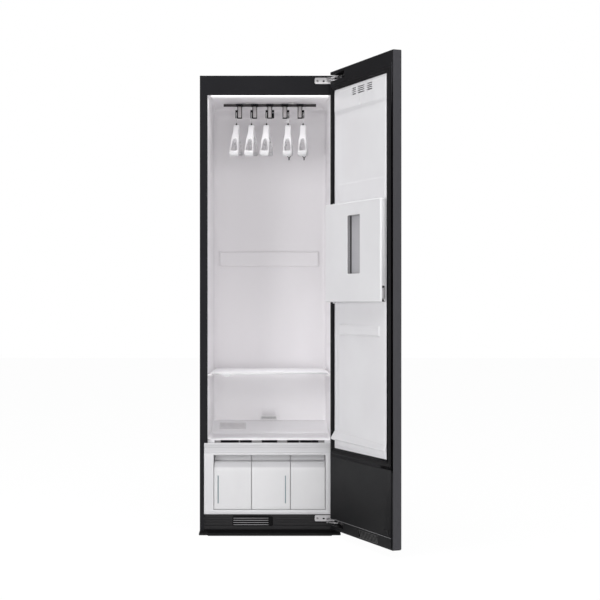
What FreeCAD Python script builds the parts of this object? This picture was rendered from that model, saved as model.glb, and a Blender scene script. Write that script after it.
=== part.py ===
import FreeCAD, Part
import math
import os

from FreeCAD import Vector

# A steam cabinet for the care of clothes, standing on its plinth with the door open.
# All lengths are millimetres. X runs to the right, Y to the back and Z up.
# The origin is on the floor, under the middle of the cabinet's body.
# The door hangs on the right. Its pieces are shaped shut and then turned open together.
# "Rise" is the distance from the door's inner plane towards the cabinet, door shut.
# "Deep" is the distance from the body's front plane towards the back.

# ---- body ----
body_width = 596.0
body_depth = 548.0
body_height = 1952.0
panel_sheet = 1.5
rear_inset = 3.0
screw_head_radius = 4.0
screw_head_height = 2.0
rear_screw_rows = 4
side_x = body_width / 2
front_y = -body_depth / 2
rear_y = body_depth / 2

# ---- plinth and feet ----
plinth_margin = 2.0
plinth_nose_depth = 48.0
plinth_height = 14.0
plinth_nose_drop = 3.0
plinth_wall = 24.0
pan_sheet = 3.0
foot_inset = 70.0
foot_radius = 18.0
foot_sole = 5.0
foot_lift = 0.3
stud_radius = 5.0
stud_length = 32.0
boss_wall = 6.0
boss_height = 22.0
running_clearance = 0.05

# ---- front frame and lower front ----
frame_face = 6.0
frame_depth = 20.0
frame_rim = 8.0
side_stile = 33.0
header_height = 83.0
sill_height = 389.0
sill_sheet = 4.0
sill_deep = 44.0
bezel_side = 18.0
bezel_bottom = 85.0
bezel_thickness = 10.0
fascia_thickness = 12.0
grille_left = -158.0
grille_right = 14.0
grille_bottom = 39.0
grille_top = 71.0
grille_rim = 3.0
grille_slats = 4
grille_slat_height = 2.4
grille_blank = 26.0
opening_half_width = side_x - side_stile
opening_top = body_height - header_height
bezel_half_width = side_x - bezel_side

# ---- cavity ----
back_space = 78.0
cavity_taper = 7.0
cavity_corner = 18.0
liner_wall = 3.0
floor_sheet = 4.0
floor_rise = 9.0
floor_step = 7.0
floor_step_from_back = 125.0
floor_step_run = 5.0
floor_rear_rise = 58.0
riser_deep = 28.0
riser_thickness = 3.0
riser_left_gap = 29.0
riser_right_gap = 32.0
riser_end_slots = [(26.0, 104.0), (108.0, 159.0)]
riser_middle_slot = 66.0
riser_rail = 1.5
bumper_left_gap = 36.0
bumper_right_gap = 42.0
bumper_drop = 649.0
bumper_height = 69.0
bumper_rise = 6.0
outlet_left = -43.0
outlet_right = 33.0
outlet_lift = 61.0
outlet_height = 20.0
outlet_rise = 2.0
outlet_rim = 2.5
outlet_slats = 3
lens_side_gap = 15.0
lens_front_deep = 8.0
lens_rear_deep = 76.0
lens_lip = 4.0
lens_flange = 2.5
cavity_deep = body_depth - back_space
floor_level = sill_height + floor_rise
floor_rear_level = sill_height + floor_rear_rise
floor_step_deep = cavity_deep - floor_step_from_back
riser_left = -opening_half_width + riser_left_gap
riser_right = opening_half_width - riser_right_gap
bumper_left = -opening_half_width + bumper_left_gap
bumper_right = opening_half_width - bumper_right_gap
bumper_top = opening_top - bumper_drop
bumper_bottom = bumper_top - bumper_height
outlet_bottom = sill_height + outlet_lift
outlet_top = outlet_bottom + outlet_height
lens_half_width = opening_half_width - lens_side_gap
ceiling_top = opening_top + liner_wall

# ---- shelf ----
shelf_lift = 298.0
shelf_height = 7.0
shelf_sheet = 3.0
shelf_rim = 4.0
shelf_front_deep = 31.0
shelf_back_gap = 23.0
shelf_side_gap = 12.5
shelf_tab_left = -208.0
shelf_tab_right = -157.0
shelf_tab_drop = 11.0
ledge_width = 19.0
ledge_height = 8.0
ledge_front_deep = 40.0
seat_gap = 0.3
shelf_top = sill_height + shelf_lift
shelf_bottom = shelf_top - shelf_height
shelf_rear_deep = cavity_deep - shelf_back_gap

# ---- lint filter ----
filter_side_gap = 97.0
filter_width = 120.0
filter_length = 66.0
filter_sheet = 3.0
filter_box_margin = 6.0
filter_box_depth = 30.0
filter_box_wall = 2.0
filter_slots = 7
filter_play = 2.0
filter_x = -opening_half_width + filter_side_gap
filter_deep = (cavity_deep + floor_step_deep + floor_step_run) / 2
filter_z = (floor_rear_level + floor_level + floor_step) / 2
filter_angle = math.degrees(math.atan2(floor_rear_level - floor_level - floor_step,
                                       cavity_deep - floor_step_deep - floor_step_run))

# ---- tanks and storage drawer ----
drawer_left_gap = 41.0
drawer_right_gap = 43.0
fill_tank_width = 161.0
drain_tank_width = 166.0
drawer_lift = 19.0
bezel_top_rail = 52.0
drawer_gap = 0.8
drawer_sheet = 4.0
drawer_grip_height = 49.0
drawer_slope_height = 21.0
drawer_slope_deep = 14.0
grip_deep = 38.0
drawer_deep = 205.0
tank_wall = 2.5
tank_top_gap = 9.0
tank_side_gap = 2.5
bay_wall = 3.0
bay_deep = 228.0
divider_thickness = 2.0
window_width = 4.0
window_bottom_gap = 28.0
window_top_gap = 39.0
fill_window_gap = 19.0
drain_window_gap = 21.5
drawer_left = -bezel_half_width + drawer_left_gap
drawer_right = bezel_half_width - drawer_right_gap
drain_tank_left = drawer_left + fill_tank_width
drain_tank_right = drain_tank_left + drain_tank_width
drawer_edges = [drawer_left, drain_tank_left, drain_tank_right, drawer_right]
drawer_bottom = bezel_bottom + drawer_lift
drawer_top = sill_height - bezel_top_rail
drawer_flat_top = drawer_top - drawer_grip_height
drawer_slope_top = drawer_flat_top + drawer_slope_height
tank_top = drawer_slope_top - tank_top_gap
window_bottom = drawer_bottom + window_bottom_gap
window_top = drawer_flat_top - window_top_gap
window_x = [drawer_left + fill_window_gap, drain_tank_right - drain_window_gap]

# ---- hanger rail ----
rail_end_gap = 60.0
rail_drop = 14.0
rail_height = 8.0
rail_thickness = 10.0
rail_behind_middle = 15.0
post_x = 100.0
post_length_x = 10.0
post_thickness = 8.0
rail_travel = 12.0
slot_play = 3.0
guide_radius = 4.0
guide_height = 22.0
guide_end_gap = 20.0
slider_length = 30.0
slider_height = 18.0
slider_thickness = 20.0
drive_foot = 3.0
drive_width = 80.0
bracket_thickness = 6.0
motor_radius = 24.0
motor_length = 60.0
carrier_pitch = 66.7
carrier_count = 5
carrier_width = 21.0
carrier_front = 8.0
carrier_back = 4.0
carrier_tongue = 3.0
carrier_tongue_top = 6.0
carrier_drop = 51.0
saddle_half_width = 15.0
saddle_wall = 2.0
saddle_front_wall = 2.5
peg_height = 18.0
peg_radius = 3.0
cradle_inner_sheet = 1.7
cradle_gap = 4.2
cradle_outer_sheet = 2.8
cradle_front = 5.5
cradle_back = 11.0
cradle_back_sheet = 2.0
cradle_height = 35.0
rail_half_length = opening_half_width - rail_end_gap
rail_bottom = opening_top - rail_drop
rail_y = front_y + cavity_deep / 2 + rail_behind_middle
guide_half_length = rail_half_length - guide_end_gap
guide_z = ceiling_top + guide_height
carrier_half = carrier_width / 2
peg_z = rail_bottom - carrier_drop + peg_height

# ---- hangers ----
hanger_length = 300.0
hanger_neck_drop = 51.0
hanger_fall = 129.0
hanger_neck = 14.0
hanger_neck_depth = 24.0
hanger_tip_height = 22.0
hanger_tip_bulge = 2.0
hanger_tip_flat = 12.0
hanger_tip_slope = 24.0
hanger_neck_half = 12.2
hanger_tip_half = 19.5
hanger_skin = 2.5
hanger_rib = 3.0
hanger_hole_start = 84.0
hanger_hole_end = 147.0
hanger_hole_narrow = 5.0
hanger_hole_wide = 15.5
hanger_hole_corner = 6.0
hanger_twists = [3.0, 3.7, 3.7, 2.4, 3.0]
hook_wire = 1.4
hook_play = 0.4
hook_tail = 6.0
hook_bend = 14.0
collar_radius = 3.0
collar_height = 10.0

# ---- machine room ----
compressor_radius = 62.0
compressor_height = 170.0
compressor_x = 150.0
compressor_deep = 400.0
compressor_leg = 8.0
exchanger_side_gap = 86.0
exchanger_width = 170.0
exchanger_deep = 300.0
exchanger_length = 170.0
exchanger_height = 186.0
exchanger_fins = 14
exchanger_fin = 3.0
fan_setback = 20.0
fan_box = 150.0
fan_box_length = 70.0
fan_wall = 4.0
fan_radius = 58.0
fan_inlet_radius = 38.0
fan_tip_gap = 4.0
fan_blades = 9
fan_blade_sheet = 2.5
fan_shaft_radius = 4.0
fan_hub_radius = 12.0
fan_motor_radius = 34.0
fan_motor_length = 46.0
steam_box_gap = 52.0
steam_box_width = 90.0
steam_box_length = 80.0
steam_box_height = 150.0
steam_box_rear_gap = 10.0
steam_pipe_radius = 8.0
pump_radius = 22.0
pump_height = 58.0
pump_gap = 42.0
pump_pitch = 62.0
pump_deep = 285.0
control_width = 180.0
control_length = 120.0
control_height = 50.0
control_x = -150.0
control_deep = 390.0
inlet_radius = 12.0
inlet_bore = 4.5
inlet_length = 16.0
inlet_side_gap = 83.0
inlet_z = 120.0
exchanger_left = -side_x + exchanger_side_gap
exchanger_right = exchanger_left + exchanger_width
steam_box_x = exchanger_right + steam_box_gap
pump_x = [exchanger_right + pump_gap, exchanger_right + pump_gap + pump_pitch]
fan_x = exchanger_left + exchanger_width / 2
fan_deep = exchanger_deep + fan_setback
fan_z = plinth_height + exchanger_height + fan_box / 2
inlet_x = side_x - inlet_side_gap

# ---- door ----
door_side_overlap = 2.0
door_top_overlap = 8.0
door_bottom = 30.0
door_thickness = 38.0
door_gap = 8.0
door_top_corner = 1.5
door_bottom_corner = 6.0
glass_thickness = 3.5
glass_side_inset = 3.0
glass_end_inset = 1.0
door_wall = 14.0
door_sheet = 4.0
door_open_angle = 111.3
groove_lip = 1.5
groove_width = 11.5
groove_depth = 8.0
groove_sill_drop = 52.0
groove_top_gap = 45.0
foam_gap = 0.5
door_half = side_x + door_side_overlap
door_top = body_height + door_top_overlap
door_inner_y = front_y - door_gap
door_outer_y = door_inner_y - door_thickness
glass_back_y = door_outer_y + glass_thickness
groove_bottom = sill_height - groove_sill_drop
groove_top = door_top - groove_top_gap

# ---- door seal and liner ----
seal_side_overlap = 19.0
seal_top_overlap = 28.0
seal_sill_overlap = 39.0
seal_bead = 18.0
seal_play = 0.3
liner_side_gap = 15.0
liner_top_overlap = 3.0
liner_sill_overlap = 13.0
liner_flange = 2.0
field_margin = 12.0
field_rise = 4.0
crown_rise = 8.0
crown_height = 92.0
lower_field_rise = 5.5
lower_field_side_gap = 44.0
lower_field_drop = 397.0
vent_edges = [(24.0, 64.0), (-58.0, 9.0), (-130.0, -78.0)]
vent_top_gap = 10.5
vent_height = 33.0
vent_slots = 4
vent_rim = 1.5
bar_left_gap = 53.0
bar_right_gap = 67.0
bar_lift = 464.0
bar_height = 41.0
bar_rise = 5.0
tray_end_gap = 4.0
tray_hinge_profile = [(2.0, 76.0), (25.0, 44.0), (22.0, 39.0), (2.0, 32.0)]
tray_free_profile = [(2.0, 62.0), (13.0, 36.0), (11.0, 32.0), (2.0, 28.0)]
seal_half_width = opening_half_width + seal_side_overlap
seal_top = opening_top + seal_top_overlap
seal_bottom = sill_height - seal_sill_overlap
liner_half_width = opening_half_width - liner_side_gap
liner_top = opening_top + liner_top_overlap
liner_bottom = sill_height - liner_sill_overlap
crown_bottom = liner_top - crown_height
lower_field_x = liner_half_width - lower_field_side_gap
lower_field_top = liner_top - lower_field_drop
vent_top = liner_top - vent_top_gap
vent_bottom = vent_top - vent_height
bar_left = -liner_half_width + bar_left_gap
bar_right = liner_half_width - bar_right_gap
bar_bottom = sill_height + bar_lift
bar_top = bar_bottom + bar_height
tray_half_width = liner_half_width - tray_end_gap

# ---- lower inside of the door ----
panel_margin = 12.0
panel_rise = 3.0
panel_sill_drop = 51.0
panel_groove_z = 76.0
panel_groove = 1.5
door_grille_left = -169.0
door_grille_right = 12.0
door_grille_bottom = 38.0
door_grille_top = 68.0
door_grille_ribs = 12
door_grille_rib = 6.0
buffer_edge_gap = 31.0
buffer_length = 45.0
buffer_bottom = 84.0
buffer_top = 104.0
buffer_rise = 1.5
panel_top = sill_height - panel_sill_drop
buffer_left = -door_half + buffer_edge_gap
buffer_right = buffer_left + buffer_length

# ---- trouser press ----
press_lift = 599.0
press_length = 405.0
press_hinge_gap = 10.0
press_free_gap = 4.0
press_hinge_rise = 50.0
press_free_rise = 27.0
press_sheet = 14.0
press_gap = 6.0
press_skirt = 8.0
press_base_inset = 12.0
press_base_free = 18.0
press_base_end_gap = 2.0
press_floor_play = 0.6
press_hinge_round = 8.0
press_free_round = 6.0
press_pin_radius = 2.5
press_pin_inset = 4.0
press_pin_rise = 11.0
press_ear_height = 5.0
press_ear_gap = 0.4
press_ear_foot = 5.0
press_slot_left = -71.0
press_slot_right = 38.0
press_slot_low_gap = 114.0
press_slot_high_gap = 55.0
press_slot_round = 2.0
latch_lift = 13.0
latch_length = 41.0
latch_hole_lift = 3.0
latch_hole_length = 60.0
latch_low_rise = 9.0
latch_high_rise = 20.0
latch_proud = 3.0
latch_travel = 2.5
latch_play = 0.4
latch_flange = 2.0
press_bottom = sill_height + press_lift
press_top = press_bottom + press_length
press_hinge_x = liner_half_width - press_hinge_gap
press_free_x = -liner_half_width + press_free_gap
press_slot_bottom = press_bottom + press_slot_low_gap
press_slot_top = press_top - press_slot_high_gap
latch_bottom = press_bottom + latch_lift
latch_top = latch_bottom + latch_length
latch_hole_bottom = press_bottom + latch_hole_lift
latch_hole_top = latch_hole_bottom + latch_hole_length

# ---- door hinges ----
pivot_from_side = 12.0
pivot_from_face = 8.0
lower_hinge_lift = 30.0
upper_hinge_drop = 26.0
pin_radius = 2.5
pin_boss = 4.4
leaf_thickness = 4.0
leaf_gap = 0.4
leaf_half_width = 4.4
pocket_half_height = 14.0
pocket_length = 140.0
pocket_wall = 3.0
plate_thickness = 3.0
plate_side_gap = 23.0
plate_length = 84.0
plate_height = 26.0
plate_offsets = [9.0, -4.5]
plate_corner = 6.0
plate_hole_place = 38.0
plate_hole_drop = 1.5
plate_hole_radius = 2.8
plate_screw_places = [11.0, 71.0]
leaf_foot_side_gap = 53.0
leaf_bend_side_gap = 48.0
leaf_bend_deep = -18.0
bracket_gap = 12.0
bracket_length = 104.0
bracket_sheet = 2.5
bracket_half_height = 12.0
door_leaf_length = 53.0
hinge_x = door_half - pivot_from_side
hinge_y = door_outer_y + pivot_from_face
hinge_levels = [door_bottom + lower_hinge_lift, door_top - upper_hinge_drop]
plate_right = side_x - plate_side_gap
plate_left = plate_right - plate_length
leaf_foot_x = side_x - leaf_foot_side_gap
leaf_bend_x = side_x - leaf_bend_side_gap
bracket_right = hinge_x - bracket_gap
bracket_left = bracket_right - bracket_length
door_leaf_root_x = hinge_x - door_leaf_length


# ---- helpers ----
def block(x, y, z):
    """A box between two X, two Y and two Z values."""
    return Part.makeBox(x[1] - x[0], y[1] - y[0], z[1] - z[0], Vector(x[0], y[0], z[0]))


def both_ways(half):
    return (-half, half)


def face_of(points):
    """A flat face bounded by straight lines through the points."""
    return Part.Face(Part.makePolygon(points + points[:1]))


def upright(outline, z):
    """An outline of (x, y) points raised between two Z values."""
    face = face_of([Vector(x, y, z[0]) for x, y in outline])
    return face.extrude(Vector(0, 0, z[1] - z[0]))


def across(outline, x):
    """A profile of (y, z) points carried along X."""
    face = face_of([Vector(x[0], y, z) for y, z in outline])
    return face.extrude(Vector(x[1] - x[0], 0, 0))


def rod(radius, start, end):
    line = Vector(*end) - Vector(*start)
    return Part.makeCylinder(radius, line.Length, Vector(*start), line)


def joined(first, *others):
    """One solid from several that touch or overlap."""
    return first.fuse(list(others)).removeSplitter()


def slope(start, end, share):
    return start + (end - start) * share


def corners_rounded(shape, radius, axis, wanted):
    """Round the straight edges along an axis whose middle passes the test."""
    edges = []
    for edge in shape.Edges:
        if edge.Curve.TypeId != "Part::GeomLine":
            continue
        along = edge.tangentAt(edge.FirstParameter)
        if abs(along.dot(axis)) > 0.999 and wanted(edge.CenterOfMass):
            edges.append(edge)
    return shape.makeFillet(radius, edges)


def deep(value):
    return front_y + value


def rise(value):
    return door_inner_y + value


def wall_x(y):
    """Half the cavity's inner width at a given Y."""
    share = (y - deep(frame_face)) / (cavity_deep - frame_face)
    return opening_half_width - cavity_taper * share


def opened(shape):
    """Turn a piece of the shut door to where the open door stands."""
    turned = shape.copy()
    turned.rotate(Vector(hinge_x, hinge_y, 0), Vector(0, 0, 1), door_open_angle)
    return turned


# ---- plinth, feet and panels ----
def foot_places():
    x = side_x - foot_inset
    return [(-x, front_y + foot_inset), (x, front_y + foot_inset),
            (-x, rear_y - foot_inset), (x, rear_y - foot_inset)]


def base_frame():
    half = side_x + plinth_margin
    nose_height = plinth_height - plinth_nose_drop
    nose_y = front_y - plinth_nose_depth
    profile = [(nose_y, 0), (rear_y, 0), (rear_y, plinth_height),
               (front_y, plinth_height), (nose_y, nose_height)]
    frame = across(profile, both_ways(half))
    hollow = block(both_ways(half - plinth_wall),
                   (front_y + plinth_wall, rear_y - plinth_wall),
                   (-1, plinth_height - pan_sheet))
    frame = frame.cut(hollow)
    top = plinth_height + boss_height
    for x, y in foot_places():
        frame = frame.fuse(rod(stud_radius + boss_wall, (x, y, plinth_height - pan_sheet), (x, y, top)))
    for x, y in foot_places():
        frame = frame.cut(rod(stud_radius + running_clearance, (x, y, 0), (x, y, top + 1)))
    return frame.removeSplitter()


def levelling_foot(x, y):
    sole = rod(foot_radius, (x, y, foot_lift), (x, y, foot_lift + foot_sole))
    stud = rod(stud_radius, (x, y, foot_lift), (x, y, foot_lift + stud_length))
    return joined(sole, stud)


def side_panel(sign):
    inner = side_x - panel_sheet
    x = sorted([sign * inner, sign * side_x])
    return block(x, (front_y + frame_depth, rear_y), (plinth_height, body_height - panel_sheet))


def top_panel():
    return block(both_ways(side_x), (front_y + frame_depth, rear_y),
                 (body_height - panel_sheet, body_height))


def rear_panel():
    inner = side_x - panel_sheet
    outer_y = rear_y - rear_inset
    panel = block(both_ways(inner), (outer_y - panel_sheet, outer_y),
                  (plinth_height, body_height - panel_sheet))
    hole = rod(inlet_radius, (inlet_x, rear_y - 20, inlet_z), (inlet_x, rear_y, inlet_z))
    return panel.cut(hole)


def power_inlet():
    """The gland that a supply cord would leave through."""
    end = rear_y - rear_inset
    gland = rod(inlet_radius, (inlet_x, end - inlet_length, inlet_z), (inlet_x, end, inlet_z))
    bore = rod(inlet_bore, (inlet_x, end - inlet_length - 1, inlet_z), (inlet_x, end + 1, inlet_z))
    return gland.cut(bore)


def cabinet_screws():
    """Heads along the rear panel's sides and in the two hinge plates."""
    heads = []
    seat = rear_y - rear_inset
    x_side = side_x - 3 * screw_head_radius
    low = plinth_height + 3 * screw_head_radius
    high = body_height - 3 * screw_head_radius
    for row in range(rear_screw_rows):
        z = slope(low, high, row / (rear_screw_rows - 1))
        for x in (-x_side, x_side):
            heads.append(rod(screw_head_radius, (x, seat, z), (x, seat + screw_head_height, z)))
    seat = front_y - plate_thickness
    for level, offset in zip(hinge_levels, plate_offsets):
        for place in plate_screw_places:
            x = plate_left + place
            z = level + offset
            heads.append(rod(screw_head_radius, (x, seat - screw_head_height, z), (x, seat, z)))
    return Part.makeCompound(heads)


# ---- front frame and lower front ----
def front_frame():
    frame = block(both_ways(side_x), (front_y, deep(frame_depth)), (plinth_height, body_height))
    behind = block(both_ways(side_x - frame_rim), (deep(frame_face), deep(frame_depth) + 1),
                   (plinth_height - 1, body_height - frame_rim))
    opening = block(both_ways(opening_half_width), (front_y - 1, deep(frame_depth)),
                    (sill_height, opening_top))
    lower = block(both_ways(bezel_half_width), (front_y - 1, deep(frame_depth)),
                  (plinth_height - 1, sill_height))
    return frame.cut([behind, opening, lower]).removeSplitter()


def base_fascia():
    fascia = block(both_ways(bezel_half_width), (front_y, deep(fascia_thickness)),
                   (plinth_height, bezel_bottom))
    hole = block((grille_left, grille_right), (front_y - 1, deep(fascia_thickness) + 1),
                 (grille_bottom, grille_top))
    return fascia.cut(hole)


def base_grille():
    """An air grille of level slats beside a blank end."""
    back = deep(fascia_thickness)
    grille = block((grille_left, grille_right), (front_y, back), (grille_bottom, grille_top))
    inner_bottom = grille_bottom + grille_rim
    inner_top = grille_top - grille_rim
    window = block((grille_left + grille_rim, grille_right - grille_blank), (front_y - 1, back + 1),
                   (inner_bottom, inner_top))
    recess = block((grille_right - grille_blank, grille_right - grille_rim),
                   (front_y - 1, deep(fascia_thickness / 2)), (inner_bottom, inner_top))
    grille = grille.cut([window, recess])
    for number in range(grille_slats):
        z = slope(inner_bottom, inner_top, (number + 0.5) / grille_slats)
        half = grille_slat_height / 2
        slat = block((grille_left, grille_right - grille_blank), (deep(1), back), (z - half, z + half))
        grille = grille.fuse(slat)
    return grille.removeSplitter()


def lower_bezel():
    """The pale surround of the drawers, with the sill of the cavity on top."""
    plate = block(both_ways(bezel_half_width), (front_y, deep(bezel_thickness)),
                  (bezel_bottom, sill_height))
    sill = block(both_ways(bezel_half_width), (front_y, deep(sill_deep)),
                 (sill_height - sill_sheet, sill_height))
    opening = block((drawer_edges[0], drawer_edges[-1]), (front_y - 1, deep(bezel_thickness) + 1),
                    (drawer_bottom, drawer_top))
    return joined(plate, sill).cut(opening)


# ---- cavity ----
def cavity_plan(spare, front):
    """The cavity's plan outline, grown outwards by a wall."""
    back = deep(cavity_deep)
    return [(-wall_x(front) - spare, front), (wall_x(front) + spare, front),
            (wall_x(back) + spare, back + spare), (-wall_x(back) - spare, back + spare)]


def cavity_space(spare, front, z):
    """An upright prism of the cavity's plan, with its rear corners rounded."""
    prism = upright(cavity_plan(spare, front), z)
    middle = deep(cavity_deep / 2)
    return corners_rounded(prism, cavity_corner + spare, Vector(0, 0, 1), lambda c: c.y > middle)


def post_slots(z):
    half_length = post_length_x / 2 + rail_travel + slot_play
    half_width = post_thickness / 2 + slot_play
    return [block((x - half_length, x + half_length), (rail_y - half_width, rail_y + half_width), z)
            for x in (-post_x, post_x)]


def shelf_ledge(sign):
    front = deep(ledge_front_deep)
    back = deep(shelf_rear_deep)
    outline = [(sign * (wall_x(front) + 1), front), (sign * (wall_x(back) + 1), back),
               (sign * (wall_x(back) - ledge_width), back), (sign * (wall_x(front) - ledge_width), front)]
    top = shelf_bottom - seat_gap
    return upright(outline, (top - ledge_height, top))


def cavity_liner():
    """Side walls, back and ceiling in one shell, open at the front and below."""
    start = deep(frame_face)
    shell = cavity_space(liner_wall, start, (sill_height, ceiling_top))
    room = cavity_space(0, start - 1, (sill_height - 1, opening_top))
    shell = shell.cut(room)
    back = deep(cavity_deep)
    bumper = block((bumper_left, bumper_right), (back - bumper_rise, back + 1),
                   (bumper_bottom, bumper_top))
    shell = shell.fuse([bumper, shelf_ledge(-1), shelf_ledge(1)])
    outlet = block((outlet_left + outlet_rim, outlet_right - outlet_rim),
                   (back - 1, back + liner_wall + 1),
                   (outlet_bottom + outlet_rim, outlet_top - outlet_rim))
    lens = block(both_ways(lens_half_width - lens_lip),
                 (deep(lens_front_deep + lens_lip), deep(lens_rear_deep - lens_lip)),
                 (opening_top - 1, ceiling_top + 1))
    return shell.cut([outlet, lens] + post_slots((opening_top - 1, ceiling_top + 1))).removeSplitter()


def ceiling_light():
    """A long lens set in the ceiling behind the header."""
    flange = block(both_ways(lens_half_width), (deep(lens_front_deep), deep(lens_rear_deep)),
                   (opening_top - lens_flange, opening_top))
    body = block(both_ways(lens_half_width - lens_lip),
                 (deep(lens_front_deep + lens_lip), deep(lens_rear_deep - lens_lip)),
                 (opening_top - lens_flange, ceiling_top))
    return joined(flange, body)


def floor_profile():
    step_end = floor_step_deep + floor_step_run
    front = riser_deep + riser_thickness
    top = [(deep(front), floor_level), (deep(floor_step_deep), floor_level),
           (deep(step_end), floor_level + floor_step), (deep(cavity_deep) + 1, floor_rear_level)]
    return top + [(y, z - floor_sheet) for y, z in reversed(top)]


def tilted(shape):
    """Lay a piece that is centred on the origin onto the floor's rear slope."""
    placed = shape.copy()
    placed.rotate(Vector(0, 0, 0), Vector(1, 0, 0), filter_angle)
    placed.translate(Vector(filter_x, deep(filter_deep), filter_z))
    return placed


def cavity_floor():
    """A sheet floor, nearly level in front, that climbs to the back wall."""
    half = opening_half_width + liner_wall
    sheet = across(floor_profile(), both_ways(half))
    room = cavity_space(0, deep(frame_face) - 1, (sill_height - 1, opening_top))
    hole_x = filter_width / 2 - filter_box_margin + filter_play
    hole_y = filter_length / 2 - filter_box_margin + filter_play
    hole = tilted(block(both_ways(hole_x), both_ways(hole_y), both_ways(3 * floor_sheet)))
    return sheet.common(room).cut(hole)


def drain_grille():
    """The slotted riser between the sill and the floor."""
    y = (deep(riser_deep), deep(riser_deep + riser_thickness))
    riser = block((riser_left, riser_right), y, (sill_height, floor_level))
    middle = (riser_left + riser_right) / 2
    openings = [(middle - riser_middle_slot / 2, middle + riser_middle_slot / 2)]
    for start, end in riser_end_slots:
        openings.append((riser_left + start, riser_left + end))
        openings.append((riser_right - end, riser_right - start))
    slots = [block(x, (y[0] - 1, y[1] + 1), (sill_height + riser_rail, floor_level - riser_rail))
             for x in openings]
    return riser.cut(slots)


def steam_outlet():
    back = deep(cavity_deep)
    flange = block((outlet_left, outlet_right), (back - outlet_rise, back), (outlet_bottom, outlet_top))
    spigot = block((outlet_left + outlet_rim, outlet_right - outlet_rim),
                   (back - outlet_rise, back + liner_wall),
                   (outlet_bottom + outlet_rim, outlet_top - outlet_rim))
    grille = joined(flange, spigot)
    low = outlet_bottom + 2 * outlet_rim
    high = outlet_top - 2 * outlet_rim
    pitch = (high - low) / outlet_slats
    slots = [block((outlet_left + 2 * outlet_rim, outlet_right - 2 * outlet_rim),
                   (back - outlet_rise - 1, back + liner_wall + 1),
                   (low + pitch * (number + 0.25), low + pitch * (number + 0.75)))
             for number in range(outlet_slats)]
    return grille.cut(slots)


# ---- shelf and lint filter ----
def shelf():
    front = deep(shelf_front_deep)
    back = deep(shelf_rear_deep)
    half_front = wall_x(front) - shelf_side_gap
    half_back = wall_x(back) - shelf_side_gap
    outline = [(-half_front, front), (half_front, front), (half_back, back), (-half_back, back)]
    plate = upright(outline, (shelf_bottom, shelf_top))
    inner = [(-half_front + shelf_rim, front + shelf_rim), (half_front - shelf_rim, front + shelf_rim),
             (half_back - shelf_rim, back - shelf_rim), (-half_back + shelf_rim, back - shelf_rim)]
    plate = plate.cut(upright(inner, (shelf_bottom - 1, shelf_top - shelf_sheet)))
    tab = block((shelf_tab_left, shelf_tab_right), (front, front + shelf_rim),
                (shelf_bottom - shelf_tab_drop, shelf_bottom))
    return joined(plate, tab)


def lint_filter():
    """A grille plate that lies on the floor's slope, with a mesh box below it."""
    plate = block(both_ways(filter_width / 2), both_ways(filter_length / 2),
                  (seat_gap, seat_gap + filter_sheet))
    box_x = filter_width / 2 - filter_box_margin
    box_y = filter_length / 2 - filter_box_margin
    box = block(both_ways(box_x), both_ways(box_y), (-filter_box_depth, seat_gap))
    hollow = block(both_ways(box_x - filter_box_wall), both_ways(box_y - filter_box_wall),
                   (-filter_box_depth + filter_box_wall, seat_gap))
    piece = joined(plate, box.cut(hollow))
    pitch = 2 * (box_y - filter_box_wall) / filter_slots
    for number in range(filter_slots):
        y = -box_y + filter_box_wall + pitch * (number + 0.5)
        slot = block(both_ways(box_x - filter_box_wall), (y - pitch / 4, y + pitch / 4),
                     (0, 2 * filter_sheet))
        piece = piece.cut(slot)
    return tilted(piece)


# ---- tanks and storage drawer ----
def tank_bay():
    """A box behind the surround with a compartment for each drawer."""
    left = drawer_edges[0]
    right = drawer_edges[-1]
    front = deep(bezel_thickness)
    back = deep(bay_deep)
    floor = drawer_bottom - seat_gap
    bay = block((left - bay_wall, right + bay_wall), (front, back),
                (floor - bay_wall, drawer_top + bay_wall))
    bay = bay.cut(block((left, right), (front - 1, back - bay_wall), (floor, drawer_top)))
    half = divider_thickness / 2
    for x in drawer_edges[1:-1]:
        divider = block((x - half, x + half), (deep(grip_deep + 2 * drawer_sheet), back - bay_wall),
                        (floor, drawer_top))
        bay = bay.fuse(divider)
    return bay.removeSplitter()


def drawer_front(number):
    """A flat front that leans back into a grip along its upper edge."""
    bottom = drawer_bottom + drawer_gap
    top = drawer_top - drawer_gap
    sheet = drawer_sheet
    profile = [(front_y, bottom), (front_y, drawer_flat_top),
               (deep(drawer_slope_deep), drawer_slope_top), (deep(grip_deep), drawer_slope_top),
               (deep(grip_deep), top), (deep(grip_deep + sheet), top),
               (deep(grip_deep + sheet), drawer_slope_top - sheet),
               (deep(drawer_slope_deep + sheet / 2), drawer_slope_top - sheet),
               (deep(sheet), drawer_flat_top - sheet / 2), (deep(sheet), bottom)]
    x = (drawer_edges[number] + drawer_gap, drawer_edges[number + 1] - drawer_gap)
    return across(profile, x)


def tank_front(number):
    front = drawer_front(number)
    half = window_width / 2
    middle = window_x[number]
    slit = block((middle - half, middle + half), (front_y - 1, deep(drawer_sheet) + 1),
                 (window_bottom, window_top))
    return front.cut(slit)


def tank_body(number):
    """An open box that hangs behind a drawer front."""
    left = drawer_edges[number] + tank_side_gap
    right = drawer_edges[number + 1] - tank_side_gap
    bottom = drawer_bottom + drawer_gap
    box = block((left, right), (deep(drawer_sheet), deep(drawer_deep)), (bottom, tank_top))
    hollow = block((left + tank_wall, right - tank_wall),
                   (deep(drawer_sheet + tank_wall), deep(drawer_deep - tank_wall)),
                   (bottom + tank_wall, tank_top + 1))
    lean = across([(deep(drawer_sheet), drawer_flat_top - drawer_sheet / 2),
                   (deep(drawer_slope_deep + drawer_sheet / 2), drawer_slope_top - drawer_sheet),
                   (deep(drawer_sheet), drawer_slope_top - drawer_sheet)],
                  (left - 1, right + 1))
    return box.cut([hollow, lean])


def storage_drawer():
    return joined(drawer_front(2), tank_body(2))


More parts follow.
